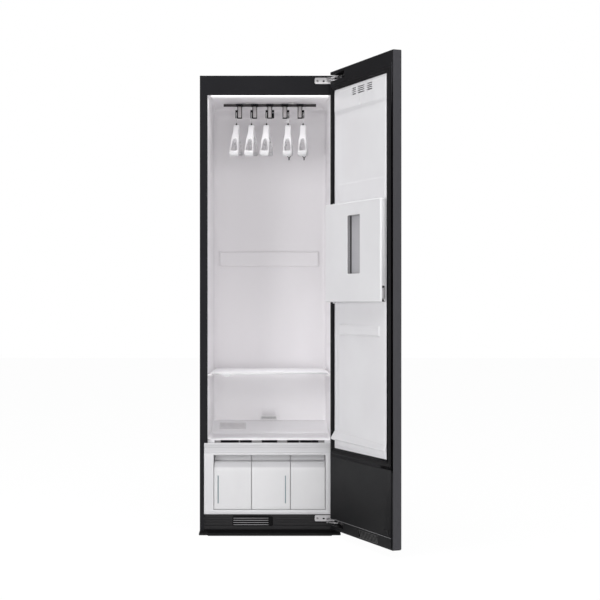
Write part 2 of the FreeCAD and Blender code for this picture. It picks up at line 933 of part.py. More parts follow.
# ---- hanger rail ----
def carrier_places():
    first = -(carrier_count - 1) / 2
    return [(first + number) * carrier_pitch for number in range(carrier_count)]


def hanger_sides():
    """Which side of its carrier each hanger hangs on."""
    middle = carrier_count // 2
    return [-1 if number <= middle else 1 for number in range(carrier_count)]


def hanger_rail():
    """The rail, its two posts through the ceiling and the sliders above it."""
    half = rail_thickness / 2
    rail = block(both_ways(rail_half_length), (rail_y - half, rail_y + half),
                 (rail_bottom, rail_bottom + rail_height))
    slider_bottom = guide_z - slider_height / 2
    slider_top = guide_z + slider_height / 2
    parts = []
    for x in (-post_x, post_x):
        parts.append(block((x - post_length_x / 2, x + post_length_x / 2),
                           (rail_y - post_thickness / 2, rail_y + post_thickness / 2),
                           (rail_bottom, slider_bottom)))
        parts.append(block((x - slider_length / 2, x + slider_length / 2),
                           (rail_y - slider_thickness / 2, rail_y + slider_thickness / 2),
                           (slider_bottom, slider_top)))
    tie = block(both_ways(post_x), (rail_y - post_thickness / 2, rail_y + post_thickness / 2),
                (slider_top, slider_top + drive_foot))
    rail = joined(rail, tie, *parts)
    reach = guide_half_length
    return rail.cut(rod(guide_radius + running_clearance, (-reach, rail_y, guide_z),
                        (reach, rail_y, guide_z)))


def rail_drive():
    """A guide rod on two brackets above the ceiling, with its motor."""
    half = drive_width / 2
    foot_top = ceiling_top + drive_foot
    outer = guide_half_length + bracket_thickness
    foot = block(both_ways(outer), (rail_y - half, rail_y + half), (ceiling_top, foot_top))
    foot = foot.cut(post_slots((ceiling_top - 1, foot_top + 1)))
    top = guide_z + 2 * guide_radius
    parts = [rod(guide_radius, (-guide_half_length - 1, rail_y, guide_z),
                 (guide_half_length + 1, rail_y, guide_z))]
    for sign in (-1, 1):
        x = sorted([sign * guide_half_length, sign * outer])
        parts.append(block(x, (rail_y - slider_thickness / 2, rail_y + slider_thickness / 2),
                           (ceiling_top, top)))
    y = rail_y + half - motor_radius / 2
    z = ceiling_top + motor_radius
    parts.append(rod(motor_radius, (-motor_length / 2, y, z), (motor_length / 2, y, z)))
    return joined(foot, *parts)


def rail_carriers():
    """Flat plates that lie against the rail's front and hang below it."""
    plates = []
    low = rail_bottom - carrier_drop
    front = rail_y - carrier_front
    tongue_y = (front, front + carrier_tongue)
    for x in carrier_places():
        width = (x - carrier_half, x + carrier_half)
        body = block(width, (front, rail_y + carrier_back), (low, rail_bottom - saddle_wall))
        tongue = block(width, tongue_y, (low, rail_bottom + carrier_tongue_top))
        plates.append(joined(body, tongue))
    return Part.makeCompound(plates)


def rail_saddle(x):
    """A dark collar round the rail that holds a carrier; the carrier's tongue passes over it."""
    half = rail_thickness / 2
    outer = block((x - saddle_half_width, x + saddle_half_width),
                  (rail_y - half - saddle_front_wall, rail_y + half + saddle_wall),
                  (rail_bottom - saddle_wall, rail_bottom + rail_height + saddle_wall))
    rail = block((x - saddle_half_width - 1, x + saddle_half_width + 1), (rail_y - half, rail_y + half),
                 (rail_bottom, rail_bottom + rail_height))
    tongue = block((x - carrier_half, x + carrier_half), (rail_y - carrier_front, rail_y - half),
                   (rail_bottom - carrier_drop, rail_bottom + carrier_tongue_top))
    return outer.cut([rail, tongue])


def hook_offset():
    """From the middle of a carrier to the middle of the gap that its hook hangs in."""
    return carrier_half + cradle_inner_sheet + cradle_gap / 2


def hanger_cradle(carrier_x, sign):
    """Two cheeks on a carrier's side with a peg and a back plate between them."""
    low = rail_bottom - carrier_drop - 1
    high = low + cradle_height
    distances = [carrier_half, carrier_half + cradle_inner_sheet,
                 carrier_half + cradle_inner_sheet + cradle_gap,
                 carrier_half + cradle_inner_sheet + cradle_gap + cradle_outer_sheet]
    start, inner, outer, end = [carrier_x + sign * distance for distance in distances]
    y = (rail_y - cradle_front, rail_y + cradle_back)
    parts = [block(sorted([start, inner]), y, (low, high)), block(sorted([outer, end]), y, (low, high))]
    back = block(sorted([start, end]), (y[1] - cradle_back_sheet, y[1]), (low, peg_z))
    peg = rod(peg_radius, (start, rail_y, peg_z), (end, rail_y, peg_z))
    return joined(back, peg, *parts)


def hanger_pegs():
    """A cradle beside each carrier, a spare one on the middle carrier, and the collars."""
    pieces = [hanger_cradle(x, sign) for x, sign in zip(carrier_places(), hanger_sides())]
    pieces.append(hanger_cradle(0.0, 1))
    pieces.extend(rail_saddle(x) for x in carrier_places())
    return Part.makeCompound(pieces)


# ---- hangers ----
def hanger_plan(inset, end):
    """The shell's outline from above, drawn in by an inset on its long sides."""
    neck = hanger_neck_half - inset
    tip = hanger_tip_half - inset
    return [(-neck, -hanger_neck), (-neck, hanger_neck), (-tip, end), (tip, end),
            (neck, hanger_neck), (neck, -hanger_neck), (tip, -end), (-tip, -end)]


def hanger_shell():
    """Two sloping shoulders, hollow below, wider at the tips, each with a long opening."""
    reach = hanger_length / 2
    top = -hanger_neck_drop
    tip = top - hanger_fall
    foot = tip - hanger_tip_height
    end = reach + hanger_tip_bulge
    low = foot - hanger_tip_height
    half_profile = [(hanger_neck, top), (reach, tip), (end, tip - hanger_tip_height / 4),
                    (reach, foot), (reach - hanger_tip_flat, foot),
                    (reach - hanger_tip_slope, tip - hanger_tip_height / 2),
                    (hanger_neck, top - hanger_neck_depth)]
    body = across(half_profile + [(-y, z) for y, z in reversed(half_profile)],
                  both_ways(hanger_tip_half + 1))
    body = body.common(upright(hanger_plan(0, end), (low, top + 1)))
    room = upright(hanger_plan(hanger_skin, reach), (low, top))
    start_z = slope(top, tip, hanger_neck / (reach - hanger_neck)) - hanger_rib
    narrow = hanger_hole_narrow
    wide = hanger_hole_wide
    for sign in (-1, 1):
        inner_top = [(sign * 2 * hanger_neck, start_z),
                     (sign * (reach - hanger_rib), tip - hanger_rib),
                     (sign * (reach - hanger_rib), low), (sign * 2 * hanger_neck, low)]
        body = body.cut(across(inner_top, both_ways(hanger_tip_half)).common(room))
        hole = [(-narrow, sign * hanger_hole_start), (narrow, sign * hanger_hole_start),
                (wide, sign * (hanger_hole_end - hanger_hole_corner)),
                (wide - hanger_hole_corner, sign * hanger_hole_end),
                (-wide + hanger_hole_corner, sign * hanger_hole_end),
                (-wide, sign * (hanger_hole_end - hanger_hole_corner))]
        body = body.cut(upright(hole, (low, top)))
    return body


def hanger_hook():
    """Wire over the peg, back to the middle and down into the neck; the peg is at the origin."""
    bend = peg_radius + hook_play + hook_wire
    ring = Part.makeTorus(bend, hook_wire, Vector(0, 0, 0), Vector(1, 0, 0))
    arch = ring.common(block(both_ways(2 * hook_wire), both_ways(2 * bend), (0, 2 * bend)))
    tail = (0, bend, -hook_tail)
    path = [(0, -bend, 0), (0, -bend, -hook_tail), (0, 0, -hook_bend - hook_tail),
            (0, 0, -hanger_neck_drop)]
    parts = [rod(hook_wire, tail, (0, bend, 0))]
    for start, end in zip(path[:-1], path[1:]):
        parts.append(rod(hook_wire, start, end))
    for point in path[1:-1] + [tail]:
        parts.append(Part.makeSphere(hook_wire, Vector(*point)))
    parts.append(rod(collar_radius, path[-1], (0, 0, -hanger_neck_drop + collar_height)))
    return joined(arch, *parts)


def hanger(number):
    """One hanger on its peg, turned a little about its hook."""
    x = carrier_places()[number] + hanger_sides()[number] * hook_offset()
    pieces = Part.makeCompound([hanger_shell(), hanger_hook()])
    pieces.rotate(Vector(0, 0, 0), Vector(0, 0, 1), -hanger_twists[number])
    pieces.translate(Vector(x, rail_y, peg_z))
    return pieces


# ---- machine room ----
def compressor():
    x = compressor_x
    y = deep(compressor_deep)
    base = plinth_height + compressor_leg
    pot = rod(compressor_radius, (x, y, base), (x, y, base + compressor_height))
    legs = []
    for turn in range(3):
        angle = math.radians(120 * turn + 30)
        leg_x = x + 0.7 * compressor_radius * math.cos(angle)
        leg_y = y + 0.7 * compressor_radius * math.sin(angle)
        legs.append(rod(compressor_leg, (leg_x, leg_y, plinth_height), (leg_x, leg_y, base)))
    stub = rod(compressor_leg, (x, y, base + compressor_height),
               (x, y, base + compressor_height + 2 * compressor_leg))
    return joined(pot, stub, *legs)


def heat_exchanger():
    """Two finned coils on one tray, the warm one behind the cold one."""
    x = (exchanger_left, exchanger_left + exchanger_width)
    y = (deep(exchanger_deep), deep(exchanger_deep + exchanger_length))
    z = (plinth_height, plinth_height + exchanger_height)
    coil = block(x, y, z)
    gap = block((x[0] + exchanger_fin, x[1] - exchanger_fin),
                (slope(y[0], y[1], 0.46), slope(y[0], y[1], 0.54)), (z[0] + exchanger_fin, z[1] + 1))
    coil = coil.cut(gap)
    pitch = exchanger_width / exchanger_fins
    slits = []
    for number in range(1, exchanger_fins):
        middle = x[0] + pitch * number
        slits.append(block((middle - pitch / 4, middle + pitch / 4), (y[0] - 1, y[1] + 1),
                           (z[0] + 2 * exchanger_fin, z[1] - 2 * exchanger_fin)))
    return coil.cut(slits)


def fan_housing():
    """A square scroll casing with a round inlet in front and an outlet on top."""
    half = fan_box / 2
    y = (deep(fan_deep), deep(fan_deep + fan_box_length))
    case = block((fan_x - half, fan_x + half), y, (fan_z - half, fan_z + half))
    chamber = rod(fan_radius + fan_tip_gap, (fan_x, y[0] + fan_wall, fan_z),
                  (fan_x, y[1] - fan_wall, fan_z))
    inlet = rod(fan_inlet_radius, (fan_x, y[0] - 1, fan_z), (fan_x, y[0] + fan_wall + 1, fan_z))
    outlet = block((fan_x, fan_x + fan_radius), (y[0] + fan_wall, y[1] - fan_wall),
                   (fan_z, fan_z + half + 1))
    shaft = rod(2 * fan_shaft_radius, (fan_x, y[1] - fan_wall - 1, fan_z), (fan_x, y[1] + 1, fan_z))
    return case.cut([chamber, inlet, outlet, shaft])


def fan_motor():
    back = deep(fan_deep + fan_box_length)
    front = deep(fan_deep + 2 * fan_wall)
    body = rod(fan_motor_radius, (fan_x, back, fan_z), (fan_x, back + fan_motor_length, fan_z))
    shaft = rod(fan_shaft_radius, (fan_x, front, fan_z), (fan_x, back, fan_z))
    return joined(body, shaft)


def fan_impeller():
    """Blades on a back plate, turning on the motor's shaft."""
    start = deep(fan_deep + 3 * fan_wall)
    end = deep(fan_deep + fan_box_length - 2 * fan_wall)
    hub = rod(fan_hub_radius, (fan_x, start, fan_z), (fan_x, end, fan_z))
    plate = rod(fan_radius, (fan_x, end - fan_wall, fan_z), (fan_x, end, fan_z))
    parts = [plate]
    for number in range(fan_blades):
        blade = block((fan_x + fan_hub_radius - 2, fan_x + fan_radius),
                      (start, end - fan_wall),
                      (fan_z - fan_blade_sheet / 2, fan_z + fan_blade_sheet / 2))
        blade.rotate(Vector(fan_x, start, fan_z), Vector(0, 1, 0), 360 * number / fan_blades)
        parts.append(blade)
    wheel = joined(hub, *parts)
    return wheel.cut(rod(fan_shaft_radius + running_clearance, (fan_x, start - 1, fan_z),
                         (fan_x, end + 1, fan_z)))


def steam_generator():
    half = steam_box_width / 2
    back = rear_y - rear_inset - panel_sheet - steam_box_rear_gap
    top = plinth_height + steam_box_height
    tank = block((steam_box_x - half, steam_box_x + half), (back - steam_box_length, back),
                 (plinth_height, top))
    y = back - steam_box_length / 2
    pipe = rod(steam_pipe_radius, (steam_box_x, y, top), (steam_box_x, y, top + 6 * steam_pipe_radius))
    return joined(tank, pipe)


def water_pumps():
    """The supply pump and the drain pump."""
    pumps = []
    y = deep(pump_deep)
    for x in pump_x:
        top = plinth_height + pump_height
        body = rod(pump_radius, (x, y, plinth_height), (x, y, top))
        spout = rod(pump_radius / 4, (x, y, top), (x, y, top + pump_radius / 2))
        pumps.append(joined(body, spout))
    return Part.makeCompound(pumps)


def control_box():
    half = control_width / 2
    y = deep(control_deep)
    return block((control_x - half, control_x + half), (y - control_length / 2, y + control_length / 2),
                 (ceiling_top, ceiling_top + control_height))


# ---- door hinges ----
def leaf_levels(level, outer):
    """The two heights of a hinge's outer or inner leaves."""
    inner_start = leaf_gap / 2
    outer_start = inner_start + leaf_thickness + leaf_gap
    start = outer_start if outer else inner_start
    return [(level + start, level + start + leaf_thickness),
            (level - start - leaf_thickness, level - start)]


def cabinet_leaf(z):
    """A cranked leaf from the cabinet's front round the door's corner to the pin."""
    half = leaf_half_width
    bend = Vector(leaf_bend_x, deep(leaf_bend_deep), 0)
    pin = Vector(hinge_x, hinge_y, 0)
    along = (pin - bend).normalize()
    side = Vector(-along.y, along.x, 0) * half
    outline = [(leaf_foot_x - half, front_y - plate_thickness / 2),
               (leaf_foot_x - half, bend.y - half), (bend.x - side.x, bend.y - side.y),
               (pin.x - side.x, pin.y - side.y), (pin.x + side.x, pin.y + side.y),
               (bend.x + side.x, bend.y + side.y), (leaf_foot_x + half, bend.y + 2 * half),
               (leaf_foot_x + half, front_y - plate_thickness / 2)]
    leaf = upright(outline, z)
    boss = rod(pin_boss, (hinge_x, hinge_y, z[0]), (hinge_x, hinge_y, z[1]))
    return joined(leaf, boss)


def hinge_plate(number):
    """A plate on the cabinet's front with two leaves and the fixed pin."""
    level = hinge_levels[number]
    middle = level + plate_offsets[number]
    half = plate_height / 2
    plate = block((plate_left, plate_right), (front_y - plate_thickness, front_y),
                  (middle - half, middle + half))
    plate = corners_rounded(plate, plate_corner, Vector(0, 1, 0), lambda c: c.x < leaf_foot_x)
    x = plate_left + plate_hole_place
    z = middle - plate_hole_drop
    plate = plate.cut(rod(plate_hole_radius, (x, front_y - plate_thickness, z), (x, front_y, z)))
    upper, lower = leaf_levels(level, True)
    pin = rod(pin_radius, (hinge_x, hinge_y, lower[0]), (hinge_x, hinge_y, upper[1]))
    return joined(plate, cabinet_leaf(upper), cabinet_leaf(lower), pin)


def door_bracket(number):
    """The door's half of a hinge: a plate in the pocket with two leaves bored for the pin."""
    level = hinge_levels[number]
    plate = block((bracket_left, bracket_right), (glass_back_y, glass_back_y + bracket_sheet),
                  (level - bracket_half_height, level + bracket_half_height))
    parts = []
    for z in leaf_levels(level, False):
        outline = [(door_leaf_root_x, glass_back_y + bracket_sheet),
                   (door_leaf_root_x, hinge_y + leaf_half_width), (hinge_x, hinge_y + leaf_half_width),
                   (hinge_x, glass_back_y + bracket_sheet)]
        parts.append(upright(outline, z))
        parts.append(rod(pin_boss, (hinge_x, hinge_y, z[0]), (hinge_x, hinge_y, z[1])))
    bracket = joined(plate, *parts)
    bore = rod(pin_radius + running_clearance, (hinge_x, hinge_y, level - pocket_half_height),
               (hinge_x, hinge_y, level + pocket_half_height))
    return bracket.cut(bore)


def door_brackets():
    return Part.makeCompound([door_bracket(0), door_bracket(1)])


def hinge_pockets(spare, out=1):
    """The spaces that the hinges need in the door, grown by a wall and open to the cabinet."""
    left = door_half - pocket_length
    pockets = []
    for level in hinge_levels:
        half = pocket_half_height + spare
        pockets.append(block((left - spare, door_half + 1), (glass_back_y, rise(out)),
                             (level - half, level + half)))
    return pockets


# ---- door ----
def door_corners(shape):
    """Round the door's four corners, the lower two more."""
    middle = (door_bottom + door_top) / 2
    shape = corners_rounded(shape, door_top_corner, Vector(0, 1, 0), lambda c: c.z > middle)
    return corners_rounded(shape, door_bottom_corner, Vector(0, 1, 0), lambda c: c.z < middle)


def door_frame():
    """The door's sides and inner plate, with hinge pockets and a grip along the free edge."""
    y = (glass_back_y, door_inner_y)
    frame = block(both_ways(door_half), y, (door_bottom, door_top))
    frame = door_corners(frame)
    hollow = block(both_ways(door_half - door_wall), (y[0] - 1, y[1] - door_sheet),
                   (door_bottom + door_wall, door_top - door_wall))
    boxes = [pocket.common(frame) for pocket in hinge_pockets(pocket_wall)]
    frame = frame.cut(hollow).fuse(boxes).cut(hinge_pockets(0))
    groove_x = -door_half + groove_lip
    groove = block((groove_x, groove_x + groove_width), (y[1] - groove_depth, y[1] + 1),
                   (groove_bottom, groove_top))
    air = block((door_grille_left, door_grille_right), (y[1] - door_sheet - 1, y[1] + 1),
                (door_bottom + door_wall, door_grille_top))
    return frame.cut([groove, air]).removeSplitter()


def door_glass():
    half = door_half - glass_side_inset
    glass = block(both_ways(half), (door_outer_y, glass_back_y),
                  (door_bottom + glass_end_inset, door_top - glass_end_inset))
    return door_corners(glass)


def door_foam():
    """Insulation between the glass and the inner plate."""
    half = door_half - door_wall - foam_gap
    foam = block(both_ways(half), (glass_back_y, door_inner_y - door_sheet),
                 (door_grille_top + door_wall, door_top - door_wall - foam_gap))
    return foam.cut(hinge_pockets(pocket_wall + foam_gap))


def door_seal():
    """A soft ring that closes on the front frame."""
    y = (door_inner_y, front_y - seal_play)
    ring = block(both_ways(seal_half_width), y, (seal_bottom, seal_top))
    inner = block(both_ways(seal_half_width - seal_bead), (y[0] - 1, y[1] + 1),
                  (seal_bottom + seal_bead, seal_top - seal_bead))
    return ring.cut(inner)


def door_liner():
    """The pale inner lining with its raised fields."""
    sheet = block(both_ways(liner_half_width), (rise(0), rise(liner_flange)),
                  (liner_bottom, liner_top))
    half = liner_half_width - field_margin
    low = liner_bottom + field_margin
    high = liner_top - field_margin / 2
    field = block(both_ways(half), (rise(0), rise(field_rise)), (low, high))
    crown = block(both_ways(half), (rise(0), rise(crown_rise)), (crown_bottom, high))
    lower = block((-half, lower_field_x), (rise(0), rise(lower_field_rise)), (low, lower_field_top))
    bar = block((bar_left, bar_right), (rise(0), rise(lower_field_rise + bar_rise)),
                (bar_bottom, bar_top))
    liner = joined(sheet, field, crown, lower, bar)
    holes = [block(x, (rise(-1), rise(crown_rise + 1)), (vent_bottom, vent_top)) for x in vent_edges]
    return liner.cut(holes)


def door_vents():
    """Three louvred inserts in the liner's head."""
    inserts = []
    pitch = (vent_top - vent_bottom - 2 * vent_rim) / vent_slots
    for left, right in vent_edges:
        insert = block((left, right), (rise(0), rise(crown_rise)), (vent_bottom, vent_top))
        slots = []
        for number in range(vent_slots):
            z = vent_bottom + vent_rim + pitch * (number + 0.5)
            slots.append(block((left + vent_rim, right - vent_rim),
                               (rise(field_rise), rise(crown_rise + 1)),
                               (z - pitch / 4, z + pitch / 4)))
        inserts.append(insert.cut(slots))
    return Part.makeCompound(inserts)


def drip_tray():
    """A ledge across the foot of the liner that catches condensate, deeper at the hinge side."""
    ends = []
    for x, profile in ((tray_half_width, tray_hinge_profile), (-tray_half_width, tray_free_profile)):
        points = [Vector(x, rise(out), liner_bottom + z) for out, z in profile]
        ends.append(Part.makePolygon(points + points[:1]))
    return Part.makeLoft(ends, True, True).cut(door_liner())


def door_lower_panel():
    """The dark cover inside the lower part of the door."""
    half = door_half - panel_margin
    bottom = door_bottom + panel_margin / 2
    panel = block(both_ways(half), (rise(0), rise(panel_rise)), (bottom, panel_top))
    line = block((-half - 1, door_grille_right), (rise(panel_rise / 2), rise(panel_rise + 1)),
                 (panel_groove_z, panel_groove_z + panel_groove))
    air = block((door_grille_left, door_grille_right), (rise(-1), rise(panel_rise + 1)),
                (door_grille_bottom, door_grille_top))
    buffer_pad = block((buffer_left, buffer_right), (rise(0), rise(panel_rise + buffer_rise)),
                       (buffer_bottom, buffer_top))
    return joined(panel, buffer_pad).cut([line, air] + hinge_pockets(0, panel_rise + 1))


def door_grille():
    """Leaning ribs in a frame at the foot of the door."""
    x = (door_grille_left, door_grille_right)
    z = (door_grille_bottom, door_grille_top)
    edge = panel_rise / 2
    ring = block(x, (rise(0), rise(panel_rise)), z)
    ring = ring.cut(block((x[0] + edge, x[1] - edge), (rise(-1), rise(panel_rise + 1)),
                          (z[0] + edge, z[1] - edge)))
    lean = (z[1] - z[0]) / 2
    pitch = (x[1] - x[0] - lean) / door_grille_ribs
    ribs = []
    for number in range(door_grille_ribs):
        left = x[0] + pitch * number
        outline = [(left, z[0]), (left + door_grille_rib, z[0]),
                   (left + door_grille_rib + lean, z[1]), (left + lean, z[1])]
        face = face_of([Vector(px, rise(0), pz) for px, pz in outline])
        ribs.append(face.extrude(Vector(0, panel_rise, 0)))
    return joined(ring, *ribs)


# ---- trouser press ----
def press_rise(x):
    """How far the press's cover stands out of the door at a given X."""
    share = (press_hinge_x - x) / (press_hinge_x - press_free_x)
    return slope(press_hinge_rise, press_free_rise, share)


def press_wedge(x, low, lowered, z):
    """A slab between a level rise and the cover's sloping face lowered by a distance."""
    outline = [(x[0], rise(low)), (x[1], rise(low)), (x[1], rise(press_rise(x[1]) - lowered)),
               (x[0], rise(press_rise(x[0]) - lowered))]
    return upright(outline, z)


def press_base():
    """The pressing surface on the door, with an ear and a pin at each end of the cover."""
    margin = press_skirt + press_base_end_gap
    x = (press_free_x + press_base_free, press_hinge_x - press_base_inset)
    base = press_wedge(x, lower_field_rise, press_sheet + press_gap,
                       (press_bottom + margin, press_top - margin))
    pin_x = press_hinge_x - press_pin_inset
    y = rise(press_pin_rise)
    ear_low = field_rise
    parts = []
    for sign, end in ((-1, press_bottom), (1, press_top)):
        near = end + sign * press_ear_gap
        far = near + sign * press_ear_height
        ear = block((pin_x - press_ear_foot, pin_x + press_ear_foot),
                    (rise(ear_low), y + press_ear_foot), sorted([near, far]))
        ear = corners_rounded(ear, press_ear_foot - 1, Vector(0, 0, 1), lambda c: c.y > y)
        pin = rod(press_pin_radius, (pin_x, y, far), (pin_x, y, end - sign * press_skirt))
        parts.append(joined(ear, pin))
    return Part.makeCompound([base] + parts)


def press_cover():
    """A hinged lid with a window, whose skirts close round the pressing surface."""
    z = (press_bottom, press_top)
    low = lower_field_rise + press_floor_play
    lid = press_wedge((press_free_x, press_hinge_x), low, 0, z)
    lid = corners_rounded(lid, press_free_round, Vector(0, 0, 1),
                          lambda c: c.x < 0 and c.y > rise(press_free_rise / 2))
    lid = corners_rounded(lid, press_hinge_round, Vector(0, 0, 1),
                          lambda c: c.x > 0 and c.y > rise(press_hinge_rise / 2))
    room = press_wedge((press_free_x + press_skirt, press_hinge_x - press_skirt), low - 1, press_sheet,
                       (z[0] + press_skirt, z[1] - press_skirt))
    foot = block((press_hinge_x - press_base_inset, press_hinge_x + 1),
                 (rise(low - 1), rise(press_pin_rise - press_pin_inset)), (z[0] - 1, z[1] + 1))
    window = block((press_slot_left, press_slot_right), (rise(low), rise(press_hinge_rise + 1)),
                   (press_slot_bottom, press_slot_top))
    window = corners_rounded(window, press_slot_round, Vector(0, 1, 0), lambda c: True)
    reach = press_skirt + latch_travel + 2 * latch_play
    latch_hole = block((press_free_x - 1, press_free_x + reach),
                       (rise(latch_low_rise - latch_play), rise(latch_high_rise + latch_play)),
                       (latch_hole_bottom, latch_hole_top))
    pin_x = press_hinge_x - press_pin_inset
    y = rise(press_pin_rise)
    bore = rod(press_pin_radius + running_clearance, (pin_x, y, z[0] - 1), (pin_x, y, z[1] + 1))
    return lid.cut([room, foot, window, latch_hole, bore])


def press_latch():
    """A small push latch in the cover's free edge, kept in by a flange."""
    inner = press_free_x + press_skirt + latch_play
    button = block((press_free_x - latch_proud, inner), (rise(latch_low_rise), rise(latch_high_rise)),
                   (latch_bottom, latch_top))
    ceiling = press_free_rise - press_sheet - latch_play
    flange = block((inner, inner + latch_flange), (rise(latch_low_rise - latch_flange), rise(ceiling)),
                   (press_bottom + press_skirt + latch_play, latch_hole_top + latch_flange))
    return joined(button, flange)


# ---- all pieces ----
def cabinet_pieces():
    return {
        "base_frame": base_frame(), "left_side_panel": side_panel(-1), "right_side_panel": side_panel(1),
        "top_panel": top_panel(), "rear_panel": rear_panel(), "power_inlet": power_inlet(),
        "cabinet_screws": cabinet_screws(), "front_frame": front_frame(), "base_fascia": base_fascia(),
        "base_grille": base_grille(), "lower_bezel": lower_bezel(), "cavity_liner": cavity_liner(),
        "ceiling_light": ceiling_light(), "cavity_floor": cavity_floor(), "drain_grille": drain_grille(),
        "steam_outlet": steam_outlet(), "shelf": shelf(), "lint_filter": lint_filter(),
        "tank_bay": tank_bay(), "rail_drive": rail_drive(), "hanger_rail": hanger_rail(),
        "rail_carriers": rail_carriers(), "hanger_pegs": hanger_pegs(), "compressor": compressor(),
        "heat_exchanger": heat_exchanger(), "fan_housing": fan_housing(), "fan_motor": fan_motor(),
        "fan_impeller": fan_impeller(), "steam_generator": steam_generator(),
        "water_pumps": water_pumps(), "control_box": control_box(),
        "upper_hinge": hinge_plate(1), "lower_hinge": hinge_plate(0),
    }


def drawer_pieces():
    return {
        "fill_tank": tank_body(0), "fill_tank_front": tank_front(0),
        "drain_tank": tank_body(1), "drain_tank_front": tank_front(1),
        "storage_drawer": storage_drawer(),
    }


def door_pieces():
    return {
        "door_frame": door_frame(), "door_glass": door_glass(), "door_foam": door_foam(),
        "door_seal": door_seal(), "door_liner": door_liner(), "door_vents": door_vents(),
        "drip_tray": drip_tray(), "door_lower_panel": door_lower_panel(),
        "door_grille": door_grille(), "door_brackets": door_brackets(), "press_base": press_base(),
        "press_cover": press_cover(), "press_latch": press_latch(),
    }


def all_pieces():
    pieces = cabinet_pieces()
    pieces.update(drawer_pieces())
    for name, shape in door_pieces().items():
        pieces[name] = opened(shape)
    for number in range(carrier_count):
        pieces["hanger_%d" % (number + 1)] = hanger(number)
    for number, (x, y) in enumerate(foot_places()):
        pieces["foot_%d" % (number + 1)] = levelling_foot(x, y)
    return pieces


def write_parts():
    os.makedirs("parts", exist_ok=True)
    for name, shape in all_pieces().items():
        shape.exportStep("parts/" + name + ".step")
        print(name, "solids", len(shape.Solids), "valid", shape.isValid())


write_parts()
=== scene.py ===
import math

import bmesh
import bpy
import numpy as np
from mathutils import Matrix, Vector


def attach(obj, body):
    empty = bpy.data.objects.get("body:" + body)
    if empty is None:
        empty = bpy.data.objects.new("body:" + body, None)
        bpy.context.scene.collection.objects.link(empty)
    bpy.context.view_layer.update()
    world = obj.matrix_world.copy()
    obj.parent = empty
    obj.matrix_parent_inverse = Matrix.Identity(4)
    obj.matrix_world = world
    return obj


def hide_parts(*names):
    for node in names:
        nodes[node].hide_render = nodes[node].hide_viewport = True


# A steam cabinet for clothes, its door open. The frame is in metres, X right, Y to the back,
# Z up; the settings of each piece are in millimetres.
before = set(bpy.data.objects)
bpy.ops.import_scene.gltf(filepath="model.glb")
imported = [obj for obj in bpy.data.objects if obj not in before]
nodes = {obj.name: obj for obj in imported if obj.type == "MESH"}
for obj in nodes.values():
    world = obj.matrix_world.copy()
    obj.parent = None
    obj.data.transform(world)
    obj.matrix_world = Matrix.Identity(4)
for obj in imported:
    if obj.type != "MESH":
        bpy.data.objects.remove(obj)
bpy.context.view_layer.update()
scene = bpy.context.scene
scene.view_settings.view_transform = "Standard"
print("frame:", len(nodes), "nodes")

mm = 0.001
frontY = -274  # the cabinet's front plane
doorPlan = {"angle": 111.3, "hingeX": 288, "hingeY": -312, "innerY": -282}


def inFrame(x, y, z):
    return np.stack(np.broadcast_arrays(np.asarray(x, float), y, z), -1) * mm


def onFront(x, deep, z):
    # deep runs from the cabinet's front plane towards its back
    return inFrame(x, frontY + np.asarray(deep, float), z)


def onDoor(x, rise, z):
    # x runs across the shut door and rise from its inner plane towards the cabinet;
    # both turn about the hinge line by the open angle
    turn = math.radians(doorPlan["angle"])
    across = np.asarray(x, float) - doorPlan["hingeX"]
    along = doorPlan["innerY"] + np.asarray(rise, float) - doorPlan["hingeY"]
    return inFrame(doorPlan["hingeX"] + across * math.cos(turn) - along * math.sin(turn),
                   doorPlan["hingeY"] + across * math.sin(turn) + along * math.cos(turn), z)


def ease(value, start, width):
    # 0 before start, 1 after start + width, and 3t^2 - 2t^3 between
    t = np.clip((value - start) / width, 0, 1)
    return t * t * (3 - 2 * t)


def within(value, low, high, soft):
    # 1 between low and high, eased down to 0 at both over the soft width
    return ease(value, low, soft) * ease(high - value, 0, soft)


def marks(*values, reach=1.0, fine=0.5):
    # fine stations round each value
    return np.concatenate([np.arange(value - reach, value + reach + fine / 2, fine)
                           for value in values])


def nearEnds(low, high, *offsets):
    # the same few stations inside both ends
    return np.concatenate([low + np.array(offsets), high - np.array(offsets)])


def stationsOf(low, high, coarse, *extra):
    # evenly spaced stations with extra ones put in between
    parts = [np.arange(low, high, coarse), [high], *[np.atleast_1d(part) for part in extra]]
    stations = np.unique(np.round(np.concatenate(parts), 3))
    return stations[(stations >= low) & (stations <= high)]


def gridFaces(rows, columns, closedRows=False, closedColumns=False):
    # quads between neighbouring grid points, numbered row by row
    r = np.arange(rows if closedRows else rows - 1)
    c = np.arange(columns if closedColumns else columns - 1)
    r, c = np.meshgrid(r, c, indexing="ij")
    nextR, nextC = (r + 1) % rows, (c + 1) % columns
    quads = [r * columns + c, r * columns + nextC, nextR * columns + nextC, nextR * columns + c]
    return np.stack(quads, -1).reshape(-1, 4).tolist()


def endFaces(loops, count):
    # flat faces over the first and the last of several loops
    last = (loops - 1) * count
    return [list(range(count))[::-1], list(range(last, last + count))]


def quadNormals(points, quads):
    # the cross product of a quad's two diagonals
    return np.cross(points[quads[:, 2]] - points[quads[:, 0]],
                    points[quads[:, 3]] - points[quads[:, 1]])


def roundedLoop(width, height, radius, steps=5):
    # a rounded rectangle round the origin: four quarter arcs joined by straight sides
    radius = max(min(radius, width / 2 - 1e-5, height / 2 - 1e-5), 1e-5)
    turn = np.linspace(0, math.pi / 2, steps)
    corner = np.arange(4)[:, None] * math.pi / 2 + turn[None, :]
    signX = np.array([1, -1, -1, 1])[:, None]
    signY = np.array([1, 1, -1, -1])[:, None]
    x = signX * (width / 2 - radius) + radius * np.cos(corner)
    y = signY * (height / 2 - radius) + radius * np.sin(corner)
    return np.stack([x.ravel(), y.ravel()], -1)


